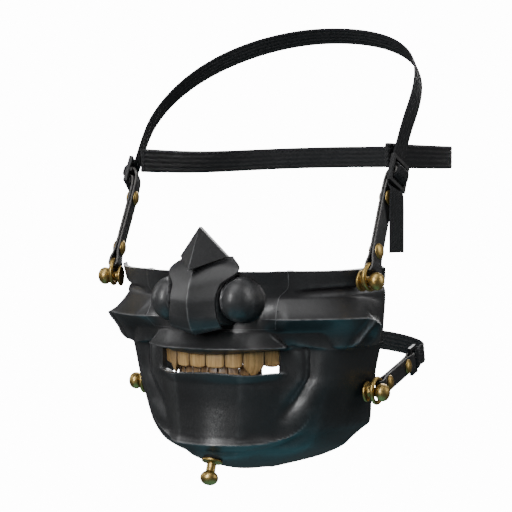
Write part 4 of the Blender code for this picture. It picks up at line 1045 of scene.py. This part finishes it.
def upper_side(side, word, finishes):
    """Make a top ring and its tab, round its buckle, and trace the webbing through it."""
    pull = (0.0, math.sin(STRAP_LEAN), math.cos(STRAP_LEAN))
    line = ringed_line(f"ring_top_{word}", TOP_STUD_AT, pull, side, finishes["brass"])
    radius = bar_loop_radius(BUCKLE_BAR, LEATHER_WALL)
    behind = BUCKLE_BAR / 2 + 2 * GAP + WEB_WALL
    rise = behind + PLY_GAP / 2 + LEATHER_WALL + GAP / 2
    last = BUCKLE_SLOT + 1.5 * BUCKLE_BAR + RIVET_RADIUS + 2 * WEB_WALL
    bar, direction, face = make_tab(
        f"tab_top_{word}", line, TAB_LENGTH, TAB_INWARD, radius, rise - BUCKLE_CAMBER, last,
        finishes["leather"], finishes["brass"])
    centre = bar + face * BUCKLE_CAMBER
    bevelled_copy(f"buckle_{word}", BUCKLE_BEVEL, finishes["buckle"])
    path = [centre + direction * along + face * away for along, away in web_through_buckle()]
    return path, direction, face


def make_crown_strap(right, left, finish):
    """Make the strap over the crown, through both buckles, with its tail at the right one."""
    paths, widths = [], []
    for (path, direction, face), tail in ((right, True), (left, False)):
        across = np.cross(direction, face) * math.copysign(1, face[0])
        level = unit((math.copysign(TAIL_TURN, face[0]), 1.0, 0.0))
        if tail:
            lower = hanging_tail(path[-1], direction, face)
        else:
            lower = [path[-1] - direction * BUCKLE_BAR * 0.55]
        upper = crown_curve(path[0] + direction * BUCKLE_BAR)
        over = unit((0.0, CROWN_HEIGHT - path[0][2], -(CROWN_BACK - path[0][1])))
        turned_sides = [level] * (len(lower) - 2) + [unit(level + across), across]
        sides = turned_sides[-len(lower):] + [across] * len(path)
        sides += [unit(across * (1 - share) + over * share)
                  for share in smooth(np.linspace(0.1, 1.5, len(upper)))]
        paths.append(lower[::-1] + path[::-1] + upper)
        widths.append(sides)
    sweep("crown_strap", np.array(paths[0] + paths[1][-2::-1]),
          np.array(widths[0] + widths[1][-2::-1]), web_section(WEB_WIDTH, WEB_WALL), finish)


def stitches(name, starts, along, out, finish):
    """Lay short threads: each is an oval tube, half sunk, from its start along its own direction."""
    turn = full_turn(THREAD_SIDES)[:, None]
    share = np.linspace(0, 1, THREAD_RINGS)
    thick = np.sin(math.pi * share) ** 0.5 * STITCH_RADIUS
    side = np.cross(out, along)
    points = (starts[:, None, None] + along[:, None, None] * (share * STITCH_LENGTH)[:, None, None]
              + (side[:, None, None] * np.cos(turn) + out[:, None, None] * np.sin(turn))
              * thick[:, None, None])
    first = np.arange(len(starts))[:, None, None] * THREAD_RINGS * THREAD_SIDES
    faces = (first + quads_of(THREAD_RINGS, THREAD_SIDES, wrap_wide=True)).reshape(-1, 4)
    add_piece("", points, faces, finish, added=name)


def make_back_strap(right, finish, thread):
    """Make the strap round the back of the head and the stitching on its doubled ends."""
    half = back_strap_half(right, BACK_STRAP_ABOVE)
    twin = back_strap_half(right, BACK_STRAP_LEFT_ABOVE)
    twin = [mirrored(point, -1) for point in twin[-2::-1]]
    sweep("back_strap", np.array(half + twin), np.array((0.0, 0.0, 1.0)),
          web_section(BACK_STRAP_WIDTH, WEB_WALL), finish)
    plies = (half[:FOLD_POINTS], twin[:-FOLD_POINTS - 1:-1])
    for ply, (side, word) in zip(plies, SIDES[::-1]):
        ply = np.array(ply)
        reach = lengths_along(ply)
        at = np.arange(STITCH_INSET, reach[-1] - STITCH_LENGTH, STITCH_PITCH)
        spots = points_at(at, reach, ply)
        along = unit(points_at(at + STITCH_LENGTH, reach, ply) - spots)
        out = np.cross(along, (0, 0, 1.0))
        out = out * np.sign(out[:, :1] * side)
        surface = out * (WEB_WALL / 2 - RIB_RISE * 0.5)
        rows = [spots + surface + np.array((0, 0, level * BACK_STRAP_WIDTH))
                for level in STITCH_ROWS]
        stitches(f"back_strap_stitching_{word}", np.concatenate(rows), np.tile(along, (2, 1)),
                 np.tile(out, (2, 1)), thread)


def lower_side(side, word, finishes):
    """Make a lower ring and its tab, round its frame, and trace the webbing's loop on it."""
    pull = (0.0, math.cos(NECK_TAB_RISE), math.sin(NECK_TAB_RISE))
    line = ringed_line(f"ring_low_{word}", LOW_STUD_AT, pull, side, finishes["brass"])
    radius = bar_loop_radius(FRAME_BAR, LEATHER_WALL)
    last = neck_length(radius, 0.0) + RIVET_RADIUS + 2 * GAP
    bar, direction, face = make_tab(
        f"tab_low_{word}", line, LOW_TAB_LENGTH, LOW_TAB_INWARD, radius, 0.0, last,
        finishes["leather"], finishes["brass"])
    bevelled_copy(f"neck_frame_{word}", FRAME_BEVEL, finishes["buckle"])
    far = bar + direction * (FRAME_SLOT + FRAME_BAR)
    web_radius = bar_loop_radius(FRAME_BAR, WEB_WALL)
    apart = (PLY_GAP + WEB_WALL) / 2
    flat = [(reach, -apart) for reach in np.linspace(NECK_STRAP_FOLD, 2.2 * web_radius, 4)]
    flat += loop_points((0, 0), web_radius, 285, 75)
    flat += [(2.2 * web_radius, apart), (NECK_STRAP_FOLD, apart)]
    path = [far + direction * along + face * away for along, away in flat]
    return path, np.cross(direction, face) * side


def make_neck_strap(right, finish):
    """Make the strap round the back of the neck, looped on both neck frames."""
    path, across = right
    start = path[-1] + unit(path[-1] - path[-2]) * 0.004
    curve = round_back(start, NECK_BACK, start[2] + NECK_STRAP_RISE, 13, 0.8)
    half = path + list(curve[1:])
    level = np.array((0.0, 0.0, across[2] / abs(across[2])))
    sides = [across] * len(path)
    sides += [unit(across * (1 - share) + level * share)
              for share in smooth(np.linspace(0.1, 1.2, len(curve) - 1))]
    points = half + [mirrored(point, -1) for point in half[-2::-1]]
    sweep("neck_strap", np.array(points), np.array(sides + sides[-2::-1]),
          web_section(WEB_WIDTH, WEB_WALL), finish)


class Shade:
    """A shader value or colour: arithmetic on it adds the Math nodes that work it out."""

    def __init__(self, tree, socket=None):
        self.tree, self.socket = tree, socket

    def feed(self, node, inputs):
        """Link what is worked out to a node's inputs, and set the rest."""
        for name, value in inputs.items():
            if isinstance(value, Shade):
                self.tree.links.new(value.socket, node.inputs[name])
            else:
                node.inputs[name].default_value = value

    def node(self, kind, settings=None, inputs=None, output=0):
        """Add a node, give it its settings and then its inputs, and give one of its outputs."""
        made = self.tree.nodes.new(kind)
        for name, value in (settings or {}).items():
            setattr(made, name, value)
        self.feed(made, inputs or {})
        return Shade(self.tree, made.outputs[output])

    def maths(self, operation, *values):
        """Work out values with one Math node."""
        return self.node("ShaderNodeMath", {"operation": operation}, dict(enumerate(values)))

    def __add__(self, other):
        return self.maths("ADD", self, other)

    def __sub__(self, other):
        return self.maths("SUBTRACT", self, other)

    def __rsub__(self, other):
        return self.maths("SUBTRACT", other, self)

    def __mul__(self, other):
        return self.maths("MULTIPLY", self, other)

    def __abs__(self):
        return self.maths("ABSOLUTE", self)

    __radd__, __rmul__ = __add__, __mul__

    def ramp(self, start, end):
        """Ease from 0 at the start to 1 at the end."""
        return self.node("ShaderNodeMapRange", {"interpolation_type": "SMOOTHSTEP"},
                         {0: self, 1: start, 2: end})

    def wave(self, pitch):
        """Give a sine of this length, from -1 to 1."""
        return self.maths("SINE", self * (2 * math.pi / pitch))

    def mix(self, first, second):
        """Go from the first colour at 0 to the second at 1."""
        return self.node("ShaderNodeMix", {"data_type": "RGBA"},
                         {0: self, 6: first, 7: second}, output=2)

    def here(self):
        """Give the place in the object's own space, in metres."""
        return self.node("ShaderNodeTexCoord", output=3)

    def noise(self, scale, detail=3.0, stretch=(1, 1, 1), turn=0.0):
        """Give soft noise in the object's own space, its bumps per metre along each axis."""
        where = self.node("ShaderNodeVectorMath", {"operation": "MULTIPLY"},
                          {0: self.here(), 1: stretch})
        return self.node("ShaderNodeTexNoise", {"noise_dimensions": "4D"},
                         {"Vector": where, "W": turn, "Scale": scale, "Detail": detail})

    def fact(self, name, output=2):
        """Read one of the mesh's own facts: a number, or a place along and across a strap."""
        return self.node("ShaderNodeAttribute", {"attribute_name": name}, output=output)

    def part(self, axis):
        """Take one part of a vector."""
        return self.node("ShaderNodeSeparateXYZ", {}, {0: self}, output=axis)


def colour(red, green, blue):
    """Give a colour with its opacity."""
    return (red, green, blue, 1.0)


def finish_of(name, look, slot=""):
    """Make a finish: look gives the shader's inputs and, under Height, what its Bump reads."""
    made = bpy.data.materials.new(f"{name}_finish")
    made["slot"] = slot
    made.use_nodes = True
    shade = Shade(made.node_tree)
    inputs = look(shade)
    if "Height" in inputs:
        depth, value = inputs.pop("Height")
        inputs["Normal"] = shade.node("ShaderNodeBump", {}, {"Distance": depth, "Height": value})
    shade.feed(made.node_tree.nodes["Principled BSDF"], inputs)
    return made


def lacquer(s):
    """Satin black lacquer: dark with grey edges and ridges, partly worn and partly a painted
    highlight, cloudy gloss and a very fine grain.
    """
    cloud = s.noise(26, 4)
    grain = s.noise(2600, 2)
    # Grey on outward edges and ridges: partly wear, partly a painted highlight.
    wear_and_highlight = s.fact("edge") * (0.45 + 0.55 * s.noise(240, 3).ramp(0.35, 0.62))
    tone = cloud.ramp(0.3, 0.7).mix(colour(0.0130, 0.0134, 0.0142), colour(0.0215, 0.0220, 0.0232))
    return {"Base Color": (wear_and_highlight * 0.75).mix(tone, colour(0.205, 0.208, 0.215)),
            "Roughness": 0.37 + 0.08 * cloud + 0.05 * grain - 0.06 * wear_and_highlight,
            "Specular IOR Level": 0.5, "Coat Weight": 0.16, "Coat Roughness": 0.22,
            "Height": (0.00006, grain + 2.0 * s.noise(420, 2))}


def brass(s):
    """Golden-brown brass, browner in clouds and with small dull spots."""
    cloud = s.noise(190, 4)
    spots = s.noise(900, 3).ramp(0.55, 0.72)
    tone = cloud.ramp(0.32, 0.68).mix(colour(0.52, 0.37, 0.130), colour(0.36, 0.24, 0.078))
    return {"Base Color": (spots * 0.5).mix(tone, colour(0.085, 0.055, 0.022)), "Metallic": 1.0,
            "Roughness": 0.36 + 0.12 * cloud + 0.14 * spots, "Height": (0.00005, cloud + spots)}


def grained(dark, light, line, gloss):
    """Give the look of a carved tooth: lengthwise grain, with painted shade in the line colour at its
    roots and sides.
    """
    def look(s):
        """Give the inputs of one tooth's shader, each tooth with grain of its own."""
        own = s.fact("tooth")
        grain = s.noise(1.0, 4, (1500, 1500, 95), turn=own)
        vein = s.noise(1.0, 2, (620, 620, 22), turn=own + 3.0)
        tone = (grain * 0.6 + vein * 0.5).ramp(0.38, 0.74).mix(dark, light)
        # Painted shade: each tooth darkens towards the line colour at its sides and its root.
        return {"Base Color": (s.fact("shade") * 0.8).mix(tone, line),
                "Roughness": gloss + 0.22 * grain, "Specular IOR Level": 0.5,
                "Coat Weight": 0.22, "Coat Roughness": 0.18, "Height": (0.00012, grain + vein)}
    return look


def leather(s):
    """Black leather with a fine pebble, and the pale raw edge of each cut ply."""
    run = s.fact("run", 1)
    across, deep = abs(run.part(1)), abs(run.part(2))
    raw = (across.ramp(LEATHER_WIDTH * 0.455, LEATHER_WIDTH * 0.485)
           * (1 - deep.ramp(LEATHER_WALL * 0.30, LEATHER_WALL * 0.48)))
    pebble = s.node("ShaderNodeTexVoronoi", {}, {"Vector": s.here(), "Scale": 1500.0})
    fibre = s.noise(2200, 4)
    tone = s.noise(160, 4).ramp(0.3, 0.7).mix(colour(0.0085, 0.0085, 0.0090),
                                              colour(0.018, 0.018, 0.019))
    pale = fibre.ramp(0.3, 0.7).mix(colour(0.040, 0.038, 0.036), colour(0.15, 0.145, 0.14))
    return {"Base Color": raw.mix(tone, pale), "Roughness": 0.46 + 0.30 * raw + 0.08 * fibre,
            "Specular IOR Level": 0.45, "Height": (0.00013, pebble + 0.6 * fibre)}


def webbing(s):
    """Black woven tape: on each lengthwise rib the threads slant, one way and then the other."""
    run = s.fact("run", 1)
    rib = run.part(1).wave(WEB_WIDTH / RIB_COUNT)
    thread = (run.part(0) + THREAD_SLANT * rib).wave(THREAD_PITCH)
    fluff = s.noise(3000, 4)
    top = (thread * 0.5 + 0.5) * (0.55 + 0.45 * fluff)
    return {"Base Color": top.mix(colour(0.0050, 0.0052, 0.0058), colour(0.030, 0.031, 0.034)),
            "Roughness": 0.62 + 0.2 * fluff, "Specular IOR Level": 0.35,
            "Height": (0.00022, thread * 0.6 + fluff * 0.5)}


def stitching(s):
    """Dark grey thread with a twist too fine to see but for its sheen."""
    fluff = s.noise(4200, 3)
    return {"Base Color": fluff.ramp(0.3, 0.7).mix(colour(0.020, 0.020, 0.022),
                                                   colour(0.065, 0.065, 0.070)),
            "Roughness": 0.55 + 0.2 * fluff, "Height": (0.00008, fluff)}


def buckle(s):
    """Moulded black plastic with a fine matt skin, rubbed shinier here and there."""
    skin, rubbed = s.noise(2400, 2), s.noise(130, 4).ramp(0.4, 0.65)
    return {"Base Color": rubbed.mix(colour(0.0090, 0.0092, 0.0098), colour(0.0165, 0.0168, 0.0178)),
            "Roughness": 0.44 - 0.12 * rubbed + 0.05 * skin, "Height": (0.00007, skin)}


def pale_floor(s):
    """Pale matt paper, lit through from below as a product table is, with a trace of grain."""
    fibre = s.noise(60, 3)
    return {"Base Color": fibre.mix(colour(0.80, 0.80, 0.80), colour(0.86, 0.86, 0.86)),
            "Roughness": 0.9, "Emission Color": colour(1, 1, 1), "Emission Strength": ROOM_SEEN}


def aimed(name, data, azimuth, elevation, distance):
    """Hang a lamp or camera round the view's target, turned towards it.

    Azimuth 0 looks along +Y and 90 along -X.
    """
    a, e = math.radians(azimuth), math.radians(elevation)
    away = Vector((math.sin(a) * math.cos(e), -math.cos(a) * math.cos(e), math.sin(e)))
    item = bpy.data.objects.new(name, data)
    item.location = Vector(VIEW_TARGET) + distance * away
    item.rotation_euler = (Vector(VIEW_TARGET) - item.location).to_track_quat("-Z", "Y").to_euler()
    bpy.context.scene.collection.objects.link(item)
    return item


def softbox(name, azimuth, elevation, distance, size, power, tint):
    """Hang a soft rectangular light round the mask."""
    lamp = bpy.data.lights.new(name, "AREA")
    lamp.shape = "RECTANGLE"
    lamp.size, lamp.size_y = size
    lamp.energy, lamp.color = power, tint
    aimed(name, lamp, azimuth, elevation, distance).visible_camera = False


def make_view():
    """Set the camera at the photograph's angle."""
    data = bpy.data.cameras.new("view")
    data.lens, data.sensor_width = VIEW_LENS, 36
    bpy.context.scene.camera = aimed("view", data, VIEW_AZIMUTH, VIEW_ELEVATION, VIEW_DISTANCE)


def make_surroundings():
    """Lay the pale floor and light the mask: white all round, soft boxes and a cool low fill."""
    reach, low = FLOOR_REACH, -FLOOR_DROP
    mesh = bpy.data.meshes.new("floor")
    mesh.from_pydata([(-reach, -reach, low), (reach, -reach, low), (reach, reach, low),
                      (-reach, reach, low)], [], [(0, 1, 2, 3)])
    mesh.materials.append(finish_of("pale_floor", pale_floor))
    floor = bpy.data.objects.new("floor", mesh)
    floor.visible_diffuse = floor.visible_glossy = False
    bpy.context.scene.collection.objects.link(floor)
    world = bpy.data.worlds.new("white_room")
    bpy.context.scene.world = world
    world.use_nodes = True
    shade = Shade(world.node_tree)
    power = ROOM_LIGHT + shade.node("ShaderNodeLightPath") * (ROOM_SEEN - ROOM_LIGHT)
    shade.feed(world.node_tree.nodes["Background"], {"Strength": power, "Color": colour(1, 1, 1)})
    for light in SOFTBOXES:
        softbox(*light)


def main():
    """Make every piece of the face guard in its finish, then the view and the light."""
    looks = {"lacquer": lacquer, "brass": brass, "leather": leather, "webbing": webbing,
             "stitching": stitching, "buckle": buckle,
             # The third colour of each tooth look is its painted shade at the sides and roots.
             "tooth": grained(colour(0.36, 0.215, 0.080), colour(0.58, 0.385, 0.165),
                              colour(0.030, 0.017, 0.008), 0.34),
             # The lower row is a darker copy of the tooth look: painted shade for its place deep in
             # the mouth, behind the upper teeth.
             "lower_tooth": grained(colour(0.13, 0.072, 0.034), colour(0.36, 0.225, 0.110),
                                    colour(0.014, 0.008, 0.005), 0.24)}
    finishes = {name: finish_of(name, look, "webbing" if name == "stitching" else name)
                for name, look in looks.items()}
    make_view()
    make_surroundings()
    for make in (make_shell, make_nose, make_band, make_crest):
        make(finishes["lacquer"])
    make_teeth(finishes["tooth"], finishes["lower_tooth"])
    make_studs(finishes["brass"])
    right = upper_side(1, "right", finishes)
    left = upper_side(-1, "left", finishes)
    make_crown_strap(right, left, finishes["webbing"])
    make_back_strap(right, finishes["webbing"], finishes["stitching"])
    make_neck_strap(lower_side(1, "right", finishes), finishes["webbing"])
    lower_side(-1, "left", finishes)


main()
